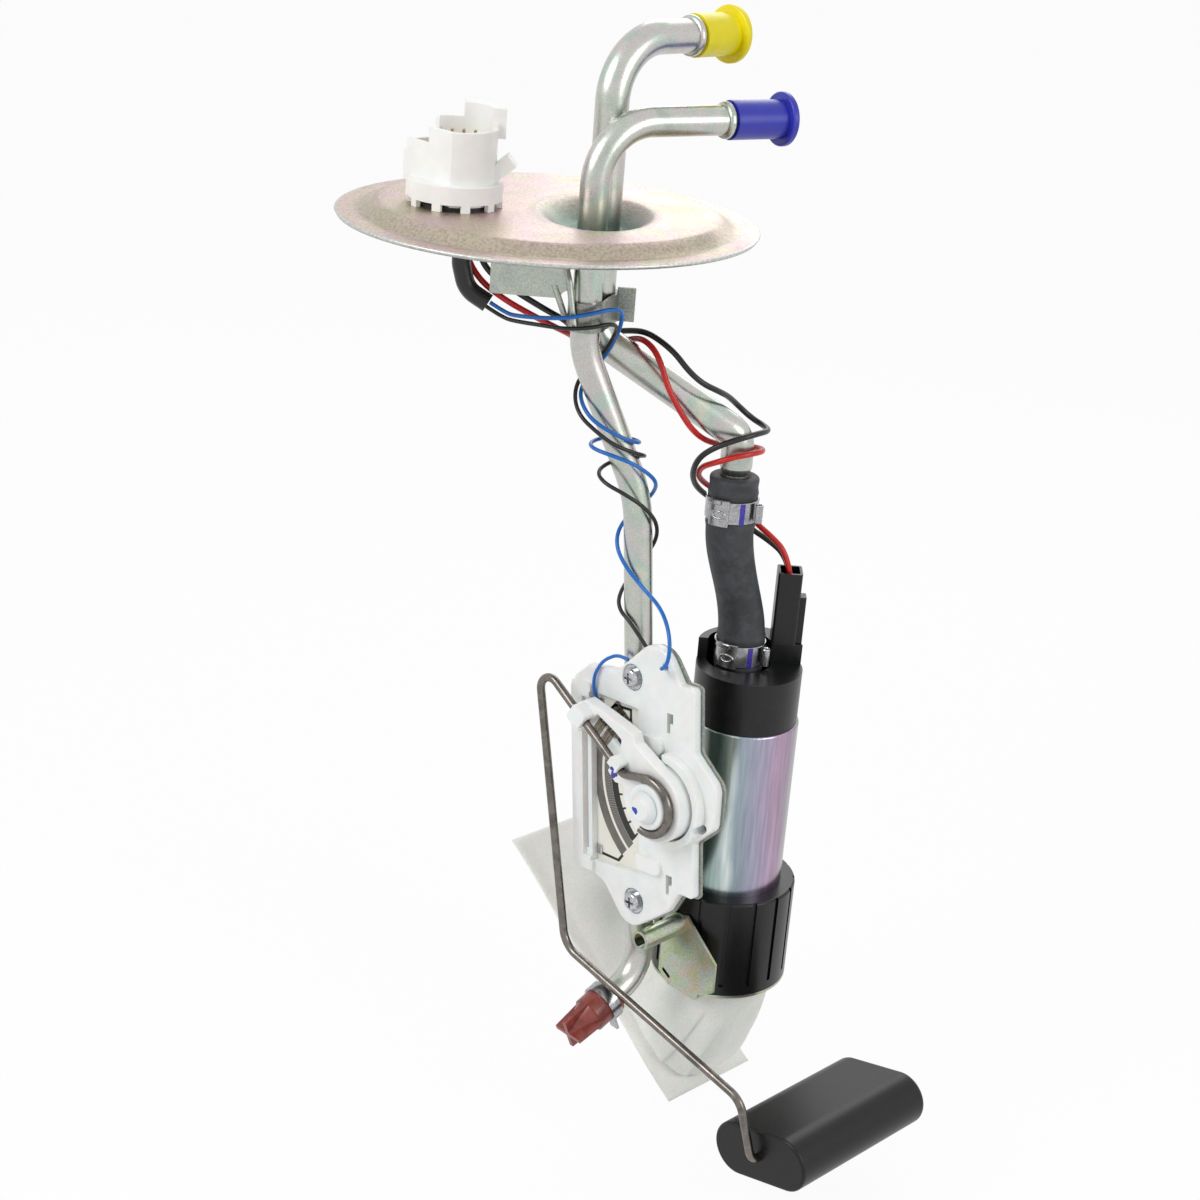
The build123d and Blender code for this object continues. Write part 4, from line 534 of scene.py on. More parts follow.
# %% Grid helpers
def grid_piece(name, spots_mm, body, material, fills, replaces=False, wrap_u=False,
               wrap_v=False, smooth=True, ends=(False, False)):
    """Mesh of an (nu, nv, 3) grid in mm with a material, which may replace a CAD node by hiding
    it. wrap joins an edge to its opposite one; ends close the first and last row of a tube with a
    fan to their middle."""
    spots = np.asarray(spots_mm, float) * MM
    nu, nv = spots.shape[:2]
    number = np.arange(nu * nv).reshape(nu, nv)
    rows = np.r_[number, number[:1]] if wrap_u else number
    rows = np.c_[rows, rows[:, :1]] if wrap_v else rows
    faces = np.stack([rows[:-1, :-1], rows[1:, :-1], rows[1:, 1:], rows[:-1, 1:]], -1)
    faces = faces.reshape(-1, 4).tolist()
    points = spots.reshape(-1, 3)
    for closed, row, step in zip(ends, (0, nu - 1), (1, -1)):
        if closed:
            pair = (number[row], np.roll(number[row], -1))[::step]
            faces += np.stack([*pair, np.full(nv, len(points))], -1).tolist()
            points = np.r_[points, spots[row].mean(0)[None]]
    mesh = bpy.data.meshes.new(name)
    mesh.from_pydata(points.tolist(), [], faces)
    mesh.shade_smooth() if smooth else mesh.shade_flat()
    piece = bpy.data.objects.new(name, mesh)
    bpy.context.collection.objects.link(piece)
    dress(piece, material)
    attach(piece, body)
    if replaces:
        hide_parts(fills)
    return piece


def point_faces_out(piece):
    """Turns all faces of a closed mesh outwards, after merging doubled points."""
    work = bmesh.new()
    work.from_mesh(piece.data)
    bmesh.ops.remove_doubles(work, verts=work.verts, dist=1e-6)
    bmesh.ops.recalc_face_normals(work, faces=work.faces)
    work.to_mesh(piece.data)
    work.free()
    piece.data.update()


def ease(value, low, high):
    """Smoothstep: 0 below low, 1 above high, and 3t^2 - 2t^3 between."""
    t = np.clip((value - low) / (high - low), 0.0, 1.0)
    return t * t * (3 - 2 * t)


def around(middle, radius, start, end, steps):
    """Points on an arc in a plane, by angle in degrees."""
    angles = np.radians(np.linspace(start, end, steps))
    return middle + radius * np.c_[np.cos(angles), np.sin(angles)]


def beside(path, half, mitred=False):
    """Steps from each point of a path to its left side: half the width, along the mean of
    its two runs' normals, lengthened at corners where mitred so that the width holds."""
    runs = np.diff(path, axis=0)
    runs /= np.linalg.norm(runs, axis=1)[:, None]
    before, after = np.r_[runs[:1], runs], np.r_[runs, runs[-1:]]
    normal = np.stack([-(before + after)[:, 1], (before + after)[:, 0]], -1)
    normal /= np.linalg.norm(normal, axis=1)[:, None]
    if mitred:
        across = np.stack([-before[:, 1], before[:, 0]], -1)
        normal /= np.sum(normal * across, axis=1)[:, None]
    return normal * half


# %% [markdown]
# ## Flange
#
# The flange is pressed from one sheet: a flat rim, a wall that rises to a plateau, and an
# oval dish where the tubes pass through. Its height is one function of the place on the
# disc, and Solidify gives the sheet its thickness.

# %% Flange cover
FLANGE_R, SHEET, EDGE_DROP = 67.5, 1.2, 0.25
RIM_INNER, WALL_INNER, PLATEAU = 60.6, 53.5, 3.5
DISH_AXES, DISH_DEPTH, DISH_FLOOR = (29.0, 19.2), 6.2, 0.45


def flange_height(x, y):
    """Height of the sheet's top: rim, then a smoothstep wall to the plateau, less an oval
    dish whose depth is a smoothstep of the distance in units of its two half axes."""
    reach = np.hypot(x, y)
    rise = PLATEAU * (1 - ease(reach, WALL_INNER, RIM_INNER))
    dx, dy = x - DISH_MIDDLE[0], y - DISH_MIDDLE[1]
    along = dx * math.cos(DISH_TURN) + dy * math.sin(DISH_TURN)
    across = -dx * math.sin(DISH_TURN) + dy * math.cos(DISH_TURN)
    share = np.hypot(along / DISH_AXES[0], across / DISH_AXES[1])
    return SHEET + rise - DISH_DEPTH * (1 - ease(share, DISH_FLOOR, 1.0))


# Rings from the middle out: the plateau, the wall and the rim, closest on the wall.
ring_reach = np.r_[0.4, np.linspace(1.5, 52.5, 70), np.linspace(53.0, 60.8, 20),
                   np.linspace(61.5, FLANGE_R - 0.4, 6), FLANGE_R]
ring_turn = np.linspace(0, 2 * np.pi, 180, endpoint=False)
reach_grid, turn_grid = np.meshgrid(ring_reach, ring_turn, indexing="ij")
flange_x, flange_y = reach_grid * np.cos(turn_grid), reach_grid * np.sin(turn_grid)
edge_drop = np.where(reach_grid >= FLANGE_R, EDGE_DROP, 0.0)
flange_grid = np.stack([flange_x, flange_y, flange_height(flange_x, flange_y) - edge_drop], -1)
flange_cover = grid_piece("flange_cover", flange_grid, "module", flange_zinc, "flange_plate",
                          True, wrap_v=True, ends=(True, False))
thicken = flange_cover.modifiers.new("sheet", "SOLIDIFY")
thicken.thickness, thicken.offset = SHEET * MM, -1.0
print("flange cover points:", len(flange_cover.data.vertices))

# %% [markdown]
# ## Strainer sock
#
# The sock is two layers of felted nylon, heat-sealed along a flat hem, with a wide funnel
# that pulls up over the pump's inlet. A lofted block would look hard, so it is one closed
# grid: rings run from the middle of the lower layer, round the hem, over the upper layer
# and up the funnel. Blender's cloth then blows it up a little, which gives the slack folds.

# %% Sock size and plane
SOCK_LONG, SOCK_DEEP, SOCK_PUFF, UNDER_SHARE = 113.0, 42.0, 5.0, 0.8
SOCK_PITCH = math.radians(35.7)
HEM_WIDE, HEM_HALF, HEM_WAVE = 5.0, 0.7, 0.5
SOCK_CORNER = np.array([65.0, 26.0, -309.0])
MOUTH_R, COLLAR_R, MOUTH_Z = 19.3, 12.5, -264.9
FUNNEL_A, FUNNEL_AXES = 29.5, (24.0, 18.0)
collar_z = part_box("strainer_collar")[0][2] / MM - 0.4
sock_along = np.array([math.cos(SOCK_PITCH), 0.0, -math.sin(SOCK_PITCH)])
sock_out = np.array([math.sin(SOCK_PITCH), 0.0, math.cos(SOCK_PITCH)])
sock_middle = SOCK_CORNER - sock_along * SOCK_LONG / 2 + np.array([0.0, SOCK_DEEP / 2, 0.0])
print("mouth at", MOUTH_Z, "mm, collar down to", round(collar_z, 1), "mm")


def on_sock(spots, h):
    """Place in the frame of plane points (along the sock, across it), lifted out of the
    sock's upper side by h."""
    return (sock_middle + spots[..., :1] * sock_along + spots[..., 1:] * np.array([0.0, 1.0, 0.0])
            + h[..., None] * sock_out)


def pillow(spots):
    """Height of the pillow: the product of 1 - t^4 along and 1 - t^2 across, where t is the
    share of the way to the hem, and two shallow folds that run slantwise."""
    a, b = spots[..., 0], spots[..., 1]
    along = np.clip(np.abs(a) / (SOCK_LONG / 2 - HEM_WIDE), 0, 1)
    across = np.clip(np.abs(b) / (SOCK_DEEP / 2 - HEM_WIDE), 0, 1)
    fold = 0.8 * np.sin(a / 7.0 + b / 5.5) + 0.5 * np.sin(a / 4.1 - b / 6.0 + 1.0)
    return HEM_HALF + (1 - along ** 4) * (1 - across ** 2) * (SOCK_PUFF + fold)


# %% [markdown]
# The hem's outline is sampled evenly round its four sides, corners included. Each sample
# gives a direction from the funnel's middle, and the rings are drawn along it.

# %% Sock outline
def outline_samples(long, deep, pitch):
    """Points round a rectangle, one side after the other, about pitch apart."""
    corners = np.array([(long, -deep), (long, deep), (-long, deep), (-long, -deep)]) / 2
    sides = zip(corners, np.roll(corners, -1, axis=0))
    return np.concatenate([start + (end - start) * np.linspace(
        0, 1, max(2, int(np.hypot(*(end - start)) / pitch)), endpoint=False)[:, None]
        for start, end in sides])


def rings_between(start, end, shares):
    """Rings of plane points that go straight from one ring to another."""
    return start + (end - start) * np.asarray(shares)[:, None, None]


NEAR_HEM = 0.94
sock_size = np.array([SOCK_LONG, SOCK_DEEP])
hem_edge = outline_samples(SOCK_LONG, SOCK_DEEP, 1.7)
sock_heart = np.array([FUNNEL_A, 0.0])
inner_edge = hem_edge * ((sock_size - 2 * HEM_WIDE) / sock_size)
turn = np.arctan2(inner_edge[:, 1], inner_edge[:, 0] - FUNNEL_A)
ring_way = np.c_[np.cos(turn), np.sin(turn)]
funnel_foot = sock_heart + FUNNEL_AXES * ring_way
past_hem = np.linalg.norm(funnel_foot - sock_heart, axis=1) > np.linalg.norm(
    inner_edge - sock_heart, axis=1)
funnel_foot[past_hem] = sock_heart + (inner_edge[past_hem] - sock_heart) * NEAR_HEM
print("samples round the hem:", len(hem_edge))

# %% Layers and hem
LAYER_RINGS, HEART_SHARE = 30, 0.03
lower = rings_between(sock_heart * np.ones_like(inner_edge), inner_edge,
                      np.linspace(HEART_SHARE, 1, LAYER_RINGS))
lower_part = on_sock(lower, -UNDER_SHARE * pillow(lower))
hem = rings_between(inner_edge, hem_edge, [0.3, 0.65, 0.94, 1.0])
hem_height = HEM_HALF * np.array([1.0, 1.0, 0.7, 0.0])[:, None]
hem_wave = HEM_WAVE * np.sin(hem[..., 0] / 9.0) * np.array([0.3, 0.7, 1.0, 1.0])[:, None]
hem_under = on_sock(hem, hem_wave - hem_height)
hem_over = on_sock(hem[::-1], (hem_wave + hem_height)[::-1])[1:]
upper = rings_between(inner_edge, funnel_foot, np.linspace(0, 1, LAYER_RINGS))
upper_part = on_sock(upper, pillow(upper))

# %% [markdown]
# The funnel is a Hermite curve: it leaves the pillow in a crease, bellies out, and reaches
# the mouth straight up. Its two pulls are in units of the way to be spanned.

# %% Funnel and whole grid
FUNNEL_RINGS, LEAVE_LIFT, LEAVE_PULL, ARRIVE_PULL = 26, 0.5, 0.75, 0.9
foot = upper_part[-1]
mouth = np.c_[np.array(PUMP_MIDDLE) + MOUTH_R * ring_way, np.full(len(turn), MOUTH_Z)]
span = np.linalg.norm(mouth - foot, axis=1)[:, None]
inward = upper_part[-1] - upper_part[-4]
inward /= np.linalg.norm(inward, axis=1)[:, None] + 1e-9
leave = (LEAVE_LIFT * sock_out - inward) * span * LEAVE_PULL
arrive = np.array([0.0, 0.0, 1.0]) * span * ARRIVE_PULL
t = np.linspace(0, 1, FUNNEL_RINGS)[1:, None, None]
funnel = ((2 * t ** 3 - 3 * t ** 2 + 1) * foot + (t ** 3 - 2 * t ** 2 + t) * leave
          + (3 * t ** 2 - 2 * t ** 3) * mouth + (t ** 3 - t ** 2) * arrive)
collar_ring = np.array(PUMP_MIDDLE) + COLLAR_R * ring_way
neck = np.stack([np.c_[collar_ring, np.full(len(turn), z)] for z in (MOUTH_Z, collar_z)])
sock_grid = np.concatenate([lower_part, hem_under, hem_over, upper_part[1:], funnel, neck])
print("sock grid:", sock_grid.shape[:2])

# %% [markdown]
# The felt is matted nylon fibre: dull, off-white, and a little see-through. Its fibres are
# finer than the render can show, so the grain is drawn as clumps of about half a millimetre.

# %% Sock material
felt, tree, shader, place = start_material(
    "matted_nylon_felt", 0.85, 0.0, Subsurface_Weight=0.3, Subsurface_Scale=0.003,
    Sheen_Weight=0.25, Sheen_Roughness=0.5)
cloud = mottle(tree, place, 16.0, [(0.3, "#f1f5ee"), (0.5, "#f9fbf7"), (0.7, "#fbfbf6")])
fibre = mottle(tree, place, 0.7, [(0.3, "#f2f2ee"), (0.65, "#ffffff")], detail=5.0)
tree.links.new(blend_colours(tree, cloud, fibre, 0.8, "MULTIPLY"), shader.inputs["Base Color"])
roughen(tree, shader, place, 0.7, 0.03)

sock = grid_piece("felt_sock", sock_grid, "module", felt, "strainer_sock", True, wrap_v=True,
                  ends=(True, True))
point_faces_out(sock)

# %% [markdown]
# A closed cloth with pressure inside swells where nothing holds it. The hem, the mouth and
# the two middles are held, and each point's move is capped, so the sock keeps its size.

# %% Cloth
PRESSURE, CLOTH_FRAMES, CAP_MM, HELD_ROWS_AT_MOUTH = 6.0, 16, 2.6, 4
CLOTH = {"quality": 5, "mass": 0.1, "tension_stiffness": 12.0, "compression_stiffness": 12.0,
         "bending_stiffness": 0.1, "use_pressure": True, "uniform_pressure_force": PRESSURE}


def point_places(mesh):
    """Places of a mesh's points, one row each."""
    spots = np.empty(len(mesh.vertices) * 3)
    mesh.vertices.foreach_get("co", spots)
    return spots.reshape(-1, 3)


def blow_up(piece, held):
    """Runs Blender's cloth on a closed piece, then caps how far each point moved: a move
    longer than the cap is cut back to the cap along its own direction."""
    rest = point_places(piece.data)
    group = piece.vertex_groups.new(name="held")
    group.add(np.flatnonzero(held).tolist(), 1.0, "REPLACE")
    modifier = piece.modifiers.new("cloth", "CLOTH")
    for key, value in CLOTH.items():
        setattr(modifier.settings, key, value)
    modifier.settings.vertex_group_mass = group.name
    modifier.settings.effector_weights.gravity = 0.0
    modifier.collision_settings.use_collision = False
    for step in range(1, CLOTH_FRAMES + 1):
        bpy.context.scene.frame_set(step)
    shift = point_places(piece.evaluated_get(
        bpy.context.evaluated_depsgraph_get()).to_mesh()) - rest
    piece.modifiers.remove(modifier)
    bpy.context.scene.frame_set(1)
    far = np.linalg.norm(shift, axis=1)[:, None]
    shift *= np.minimum(1.0, CAP_MM * MM / np.maximum(far, 1e-9))
    piece.data.vertices.foreach_set("co", (rest + shift).ravel())
    piece.data.update()
    piece.vertex_groups.clear()
    return float(far.max() / MM)


row = np.arange(len(sock.data.vertices)) // len(hem_edge)
hem_end = len(lower) + len(hem_under) + len(hem_over)
held = ((row >= len(lower)) & (row < hem_end)) | (row >= len(sock_grid) - HELD_ROWS_AT_MOUTH)
print("largest move in mm:", round(blow_up(sock, held), 2))
print("felt sock points:", len(sock.data.vertices))

# %% [markdown]
# ## Printed card
#
# The level is read from a ceramic card with thick-film tracks: two grey resistor arcs, a
# black one beside them, and black conductors that lead to the solder lugs. Each print is a
# strip a few hundredths of a millimetre thick, so it is laid as real flat strips.

# %% Frame of the sender and a printed strip
SENDER_AT, CARD_FRONT, PRINT_THICK = np.array([67.8, 11.0, -179.8]), 1.05, 0.04
SENDER_LEAN = math.radians(6.67)
SQUARE = np.array([[1.0, 0.0, 0.0], [0.0, 0.0, 1.0], [0.0, -1.0, 0.0]])
LEANING = np.array([[math.cos(SENDER_LEAN), 0.0, math.sin(SENDER_LEAN)],
                    [-math.sin(SENDER_LEAN), 0.0, math.cos(SENDER_LEAN)], [0.0, -1.0, 0.0]])


def printed_strip(name, path, wide, axes, material):
    """Flat strip on the card: the path's two sides, at the card's face and just above it."""
    path = np.asarray(path, float)
    side = beside(path, wide / 2, mitred=True)
    corners = [np.c_[path + way * side, np.full(len(path), CARD_FRONT + high)]
               for way, high in ((-1, 0.0), (1, 0.0), (1, PRINT_THICK), (-1, PRINT_THICK))]
    piece = grid_piece(name, SENDER_AT + np.stack(corners, 1) @ axes, "module", material,
                       "resistor_card", wrap_v=True, ends=(True, True), smooth=False)
    point_faces_out(piece)


# %% [markdown]
# Resistor ink is fired glass with metal oxides: grey, and a little glossy. The inner arc is
# trimmed with fine radial cuts, about 0.6 mm apart, drawn as a stripe over the angle.

# %% Inks
resistor_ink = moulded("fired_resistor_ink", "#5f5b56", "#77726c", 3.0, 0.35, 0.5, 0.004)
conductor_ink = moulded("fired_black_conductor", "#0c0c0c", "#171717", 3.0, 0.35, 0.5, 0.004)
marking_ink = moulded("violet_marking_ink", "#2a1f8f", "#4a3cb4", 0.9, 0.4, 0.4, 0.02)
blue_ink = moulded("blue_marking_ink", "#12229a", "#2f4fc8", 0.9, 0.4, 0.4, 0.02)

CUTS_PER_TURN = 720 / 1.1
trimmed_ink, tree, shader, place = start_material("trimmed_resistor_ink", 0.38)
round_hinge = angle_share(tree, seen_from(tree, place, SENDER_AT.tolist(),
                                          Rotation=(math.radians(90.0), 0.0, 0.0)))
cuts = maths(tree, "PINGPONG", round_hinge, 1 / CUTS_PER_TURN)
cut_share = maths(tree, "MULTIPLY", cuts, CUTS_PER_TURN)
tree.links.new(colours_along(tree, cut_share, [(0.35, "#3d3a37"), (0.6, "#8d8983")]),
               shader.inputs["Base Color"])

# %% Tracks and conductors
ARC_STEPS, TICK_ENDS_R = 64, (26.7, 25.0)
for name, middle_r, start, end, wide, ink in (
        ("outer_track", 36.1, 140, 236, 3.8, resistor_ink),
        ("inner_track", 31.3, 140, 236.5, 3.4, trimmed_ink),
        ("black_track", 28.0, 150, 235, 3.0, conductor_ink)):
    printed_strip(name, around(0.0, middle_r, start, end, ARC_STEPS), wide, SQUARE, ink)
for number, degrees in enumerate(range(190, 235, 11), 1):
    tick = [around(0.0, r, degrees, degrees, 1)[0] for r in TICK_ENDS_R]
    printed_strip(f"track_tick_{number}", tick, 0.7, SQUARE, conductor_ink)
for name, corners in {
        "upper_conductor": [(-33.0, 23.2), (-29.6, 23.2), (-27.8, 25.2), (-19.9, 25.4),
                            (-20.0, 15.5)],
        "lower_conductor": [(-34.2, -31.0), (-26.4, -31.2), (-24.3, -28.6)]}.items():
    printed_strip(name, corners, 1.0, LEANING, conductor_ink)

# %% [markdown]
# ## Ink dabs
#
# The assembly line marks checked joints with a dab of ink. Each dab is a low dome with a
# wavy outline, pressed slightly into the face that it sits on.

# %% Ink dabs
ROTOR_TURN = math.radians(149.5)
ALONG_ROTOR = np.array([[math.cos(ROTOR_TURN), math.sin(ROTOR_TURN)],
                        [-math.sin(ROTOR_TURN), math.cos(ROTOR_TURN)]])
DAB_HIGH, DAB_SUNK, DAB_FOOT = 0.16, 0.05, -0.15
DAB_WAVES = ((2, 0.18, 1), (3, 0.12, 2), (5, 0.07, 3))


def ink_dab(name, middle, radius, level, body, node, material, phase):
    """Low dome: its height is the root of 1 - t^2, t the share of the way out, and its
    outline is a circle with waves of 2, 3 and 5 turns. Its foot is below the face."""
    turn = np.linspace(0, 2 * np.pi, 40, endpoint=False)
    out = np.array([0.05, 0.4, 0.7, 0.9, 1.0, 1.0, 0.05])[:, None]
    wave = 1 + sum(size * np.sin(turns * turn + shift * phase)
                   for turns, size, shift in DAB_WAVES)
    lift = np.sqrt(1 - out ** 2) * DAB_HIGH - DAB_SUNK
    lift[-2:] = DAB_FOOT
    spots = np.stack([middle[0] + radius * out * wave * np.cos(turn),
                      middle[1] + radius * out * wave * np.sin(turn),
                      level + lift + 0 * wave], -1)
    point_faces_out(grid_piece(name, SENDER_AT + spots @ SQUARE, body, material, node,
                               wrap_v=True, ends=(True, True)))


ink_dab("tab_ink", np.array([17.6, 6.0]) @ ALONG_ROTOR, 1.5, 11.4, "arm", "wiper_rotor",
        marking_ink, 0.4)
ink_dab("clip_ink", np.array([17.2, 0.2]) @ ALONG_ROTOR, 0.9, 15.9, "arm", "wiper_rotor",
        marking_ink, 1.7)
ink_dab("boss_ink", (-1.5, -0.7), 1.25, 17.4, "module", "pivot_boss", blue_ink, 2.6)

# %% [markdown]
# ## Outlet hose
#
# The hose is extruded rubber cut to length and pushed over the two pipe ends. Its wall
# swells beside each clamp and ends in a rolled lip, so its outside is a radius that changes
# along a smooth path, and the grid turns in at both ends to make the bore.

# %% Hose
HOSE_FROM, HOSE_TO = np.array([49.2, 45.6, -79.0]), np.array([52.8, 52.8, -152.0])
HOSE_R, BORE_R, LIP_HIGH, BORE_RINGS = 8.1, 4.6, 0.9, 50
CLAMP_HEIGHTS, CLAMP_HALF, BAND_THICK = (-90.0, -142.0), 3.75, 0.7


def hose_middle(z):
    """Middle of the hose at a height: an ease from the upper pipe to the pump's nozzle."""
    share = ease(-z, 97.0, 137.0)[..., None]
    return HOSE_FROM[:2] + share * (HOSE_TO - HOSE_FROM)[:2]


def hose_radius(z):
    """Outer radius: a swell beside each band and under the lip, and a slight waist halfway
    down, each a bell curve of the height."""
    def bell(middle, wide):
        return np.exp(-((z - middle) / wide) ** 2)
    swell = sum(0.38 * bell(height + side * (CLAMP_HALF + 1.6), 1.3)
                for height in CLAMP_HEIGHTS for side in (-1, 1))
    return HOSE_R + swell + 0.2 * bell(-80.4, 1.2) - 0.35 * bell(-120.0, 12.0)


depth = np.linspace(HOSE_TO[2], HOSE_FROM[2] - LIP_HIGH, 110)
lip_turn = np.radians(np.linspace(0, 180, 9))[1:]
top_r = hose_radius(depth[-1:])[0]
lip_r = (top_r + BORE_R) / 2 + (top_r - BORE_R) / 2 * np.cos(lip_turn)
ring_z = np.r_[depth, depth[-1] + LIP_HIGH * np.sin(lip_turn),
               np.linspace(depth[-1], depth[0], BORE_RINGS)]
ring_r = np.r_[hose_radius(depth), lip_r, np.full(BORE_RINGS, BORE_R)]
hose_turn = np.linspace(0, 2 * np.pi, 56, endpoint=False)
middles = hose_middle(ring_z)
hose_grid = np.stack([middles[:, :1] + ring_r[:, None] * np.cos(hose_turn),
                      middles[:, 1:] + ring_r[:, None] * np.sin(hose_turn),
                      np.repeat(ring_z[:, None], len(hose_turn), 1)], -1)
point_faces_out(grid_piece("rubber_outlet_hose", hose_grid, "module", hose_rubber,
                           "outlet_hose", True, wrap_u=True, wrap_v=True))
print("hose rings:", len(ring_z))

# %% [markdown]
# ## Hose clamps
#
# Each clamp is one stainless strip: it goes once round the hose, passes through a buckle
# plate with a pressed oval, and ends in a rolled ear. A stripe of violet ink crosses it. A
# strip is a path seen from above that is given a thickness and carried up its width.

# %% Strips on edge
CRISP_OVER = math.radians(35.0)
EDGE_SHARES = ((-1, 1), (-0.4, 0), (0.4, 0), (1, 1))    # (side, share of the edge's softness)


def bent_strip(name, path, thick, low_z, high_z, material, node, replaces=False):
    """Strip on edge with soft edges: its section is carried along the path. Edges that turn
    by more than an angle stay crisp."""
    side = beside(path, thick / 2)
    soft = min(0.25, (high_z - low_z) / 4)
    section = [(way, low_z + share * soft) for way, share in EDGE_SHARES]
    section += [(way, high_z - share * soft) for way, share in EDGE_SHARES[::-1]]
    grid = np.stack([np.c_[path + way * side, np.full(len(path), z)] for way, z in section], 1)
    piece = grid_piece(name, grid, "module", material, node, replaces, wrap_v=True,
                       ends=(True, True))
    point_faces_out(piece)
    piece.data.set_sharp_from_angle(angle=CRISP_OVER)


def pressed_oval(name, middle, reach_r, heading, height, node):
    """Ring bent round an upright axis: an oval of a swing and a rise, thickened both ways."""
    loop = np.linspace(0, 2 * np.pi, 40, endpoint=False)[:, None]
    tube_turn = np.linspace(0, 2 * np.pi, 10, endpoint=False)
    reach = 1 + OVAL_RIB * np.cos(tube_turn)
    swing = math.radians(heading) + OVAL_HALF[0] * np.cos(loop) * reach / reach_r
    out = reach_r + OVAL_PROUD * np.sin(tube_turn) + 0 * loop
    rise = height + OVAL_HALF[1] * np.sin(loop) * reach
    point_faces_out(grid_piece(name, np.stack(
        [middle[0] + out * np.cos(swing), middle[1] + out * np.sin(swing), rise], -1),
        "module", clamp_steel, node, wrap_u=True, wrap_v=True))


# %% [markdown]
# Everything on a clamp is placed by its heading round the hose, in degrees, and by how far
# it stands off the middle of the band.

# %% Clamps
BUCKLE_AT, EAR_AT, STRIPE_AT = -75.0, 6.0, -24.0
OVAL_HALF, OVAL_RIB, OVAL_PROUD, OVAL_OUT, OVAL_DROP = (2.3, 1.25), 0.28, 0.5, 1.2, 0.4
EAR_R, EAR_OUT = 1.15, 1.25
band_middle_r = HOSE_R + 0.12 + BAND_THICK / 2
for which, height in zip(("upper", "lower"), CLAMP_HEIGHTS):
    node = f"{which}_hose_clamp"
    middle = hose_middle(np.array([height]))[0]
    low, high = height - CLAMP_HALF, height + CLAMP_HALF
    curl_middle = around(middle, band_middle_r + BAND_THICK + EAR_OUT, EAR_AT + 4, 0, 1)[0]
    # part: path, thickness, lower edge, upper edge
    strips = {
        "band": (around(middle, band_middle_r, EAR_AT, EAR_AT + 360.0, 100), BAND_THICK,
                 low, high),
        "ear": (around(curl_middle, EAR_R, EAR_AT + 180, EAR_AT - 110, 24), 0.6,
                low + 0.6, high - 0.6),
        "buckle": (around(middle, band_middle_r + 0.85, BUCKLE_AT - 22, BUCKLE_AT + 22, 16),
                   0.8, low - 0.9, high + 0.9),
        "fold": (around(middle, band_middle_r + 1.7, BUCKLE_AT - 24, BUCKLE_AT + 6, 12), 0.7,
                 high - 0.6, high + 1.0),
        "stripe": (around(middle, band_middle_r + BAND_THICK / 2, STRIPE_AT - 6,
                          STRIPE_AT + 6, 8), 0.06, low + 0.1, high - 0.1)}
    for part, (path, thick, low_z, high_z) in strips.items():
        bent_strip(f"{which}_clamp_{part}", path, thick, low_z, high_z,
                   marking_ink if part == "stripe" else clamp_steel, node, part == "band")
    pressed_oval(f"{which}_clamp_oval", middle, band_middle_r + OVAL_OUT, BUCKLE_AT,
                 height - OVAL_DROP, node)

# %% [markdown]
# ## Stage and light
#
# The part hangs over a plain white floor. A white world lights it from all sides, and
# broad soft lamps give the metal its highlights. Floor and world are brighter where they are
# seen directly or mirrored, which whitens the background and puts no more light on the part.

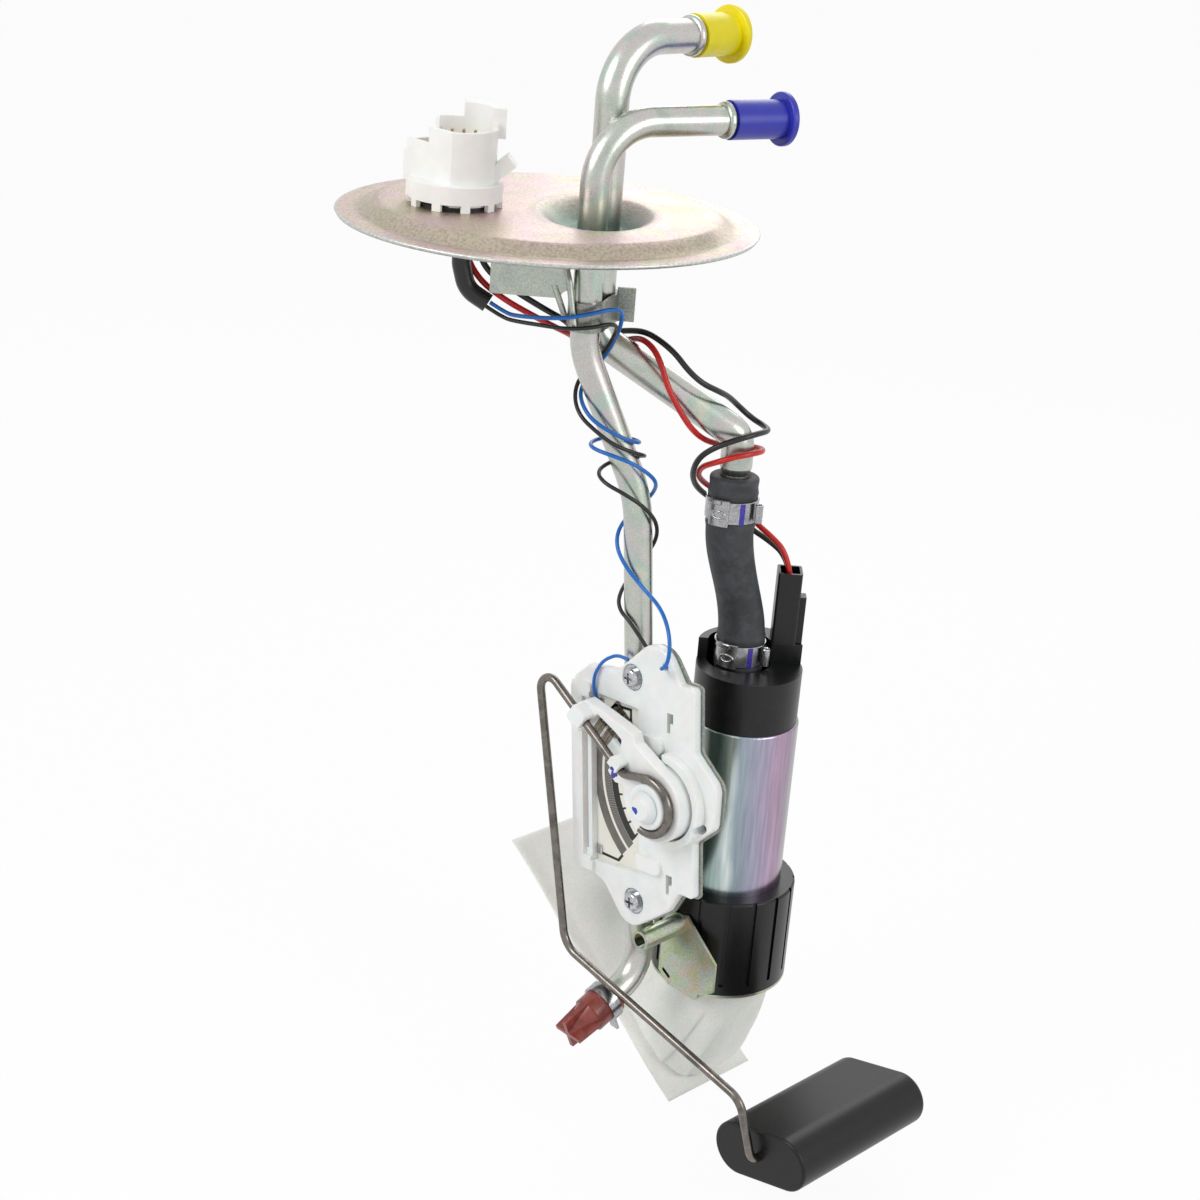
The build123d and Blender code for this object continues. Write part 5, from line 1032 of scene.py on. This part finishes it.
# %% Floor, world and lamps
FLOOR_DROP, FLOOR_HALF, FLOOR_GLOW, AMBIENT = 1.5, 12000.0, 0.94, 0.52
floor_z = cad_low[2] / MM - FLOOR_DROP
floor_mesh = bpy.data.meshes.new("floor")
floor_mesh.from_pydata([(x * FLOOR_HALF * MM, y * FLOOR_HALF * MM, floor_z * MM)
                        for x, y in ((-1, -1), (1, -1), (1, 1), (-1, 1))], [], [(0, 1, 2, 3)])
floor = bpy.data.objects.new("floor", floor_mesh)
bpy.context.collection.objects.link(floor)
paper = bpy.data.materials.new("white_paper_floor")
paper.use_nodes = True
net = paper.node_tree
net.nodes.remove(net.nodes["Principled BSDF"])
seen = add_node(net, "ShaderNodeLightPath").outputs
matte = add_node(net, "ShaderNodeBsdfDiffuse", (), {"Color": linear("#f4f4f4")})
glow = add_node(net, "ShaderNodeEmission", (), {"Color": linear("#ffffff"), "Strength": 1.0})
direct = maths(net, "MAXIMUM", seen["Is Camera Ray"], seen["Is Glossy Ray"])
paper_mix = add_node(net, "ShaderNodeMixShader", (), {
    0: maths(net, "MULTIPLY", direct, FLOOR_GLOW), 1: matte.outputs[0], 2: glow.outputs[0]})
net.links.new(paper_mix.outputs[0], net.nodes["Material Output"].inputs["Surface"])
dress(floor, paper)

world = bpy.data.worlds.new("white_studio")
bpy.context.scene.world = world
world.use_nodes = True
net = world.node_tree
seen = add_node(net, "ShaderNodeLightPath").outputs
plain = maths(net, "MAXIMUM", seen["Is Camera Ray"], seen["Is Transmission Ray"])
direct = maths(net, "MAXIMUM", plain, seen["Is Glossy Ray"])
background = net.nodes["Background"]
background.inputs["Color"].default_value = linear("#ffffff")
net.links.new(ranged(net, direct, To_Min=AMBIENT, To_Max=1.0), background.inputs["Strength"])


AIM = (30.0, 20.0, -120.0)


def soft_lamp(name, place_mm, size_mm, power):
    """Square area lamp that looks from its place at the part."""
    light = bpy.data.lights.new(name, "AREA")
    light.size, light.energy = size_mm * MM, power
    lamp = bpy.data.objects.new(name, light)
    bpy.context.collection.objects.link(lamp)
    lamp.location = [v * MM for v in place_mm]
    way = Vector([b - a for a, b in zip(place_mm, AIM)])
    lamp.rotation_mode = "QUATERNION"
    lamp.rotation_quaternion = way.to_track_quat("-Z", "Y")


for name, place_mm, size_mm, power in (
        ("key", (-150.0, -650.0, 420.0), 420.0, 3.2), ("side", (750.0, 150.0, 200.0), 360.0, 1.6),
        ("back", (-350.0, 600.0, 350.0), 500.0, 1.4)):
    soft_lamp(name, place_mm, size_mm, power)
bpy.context.scene.view_settings.view_transform = "Standard"
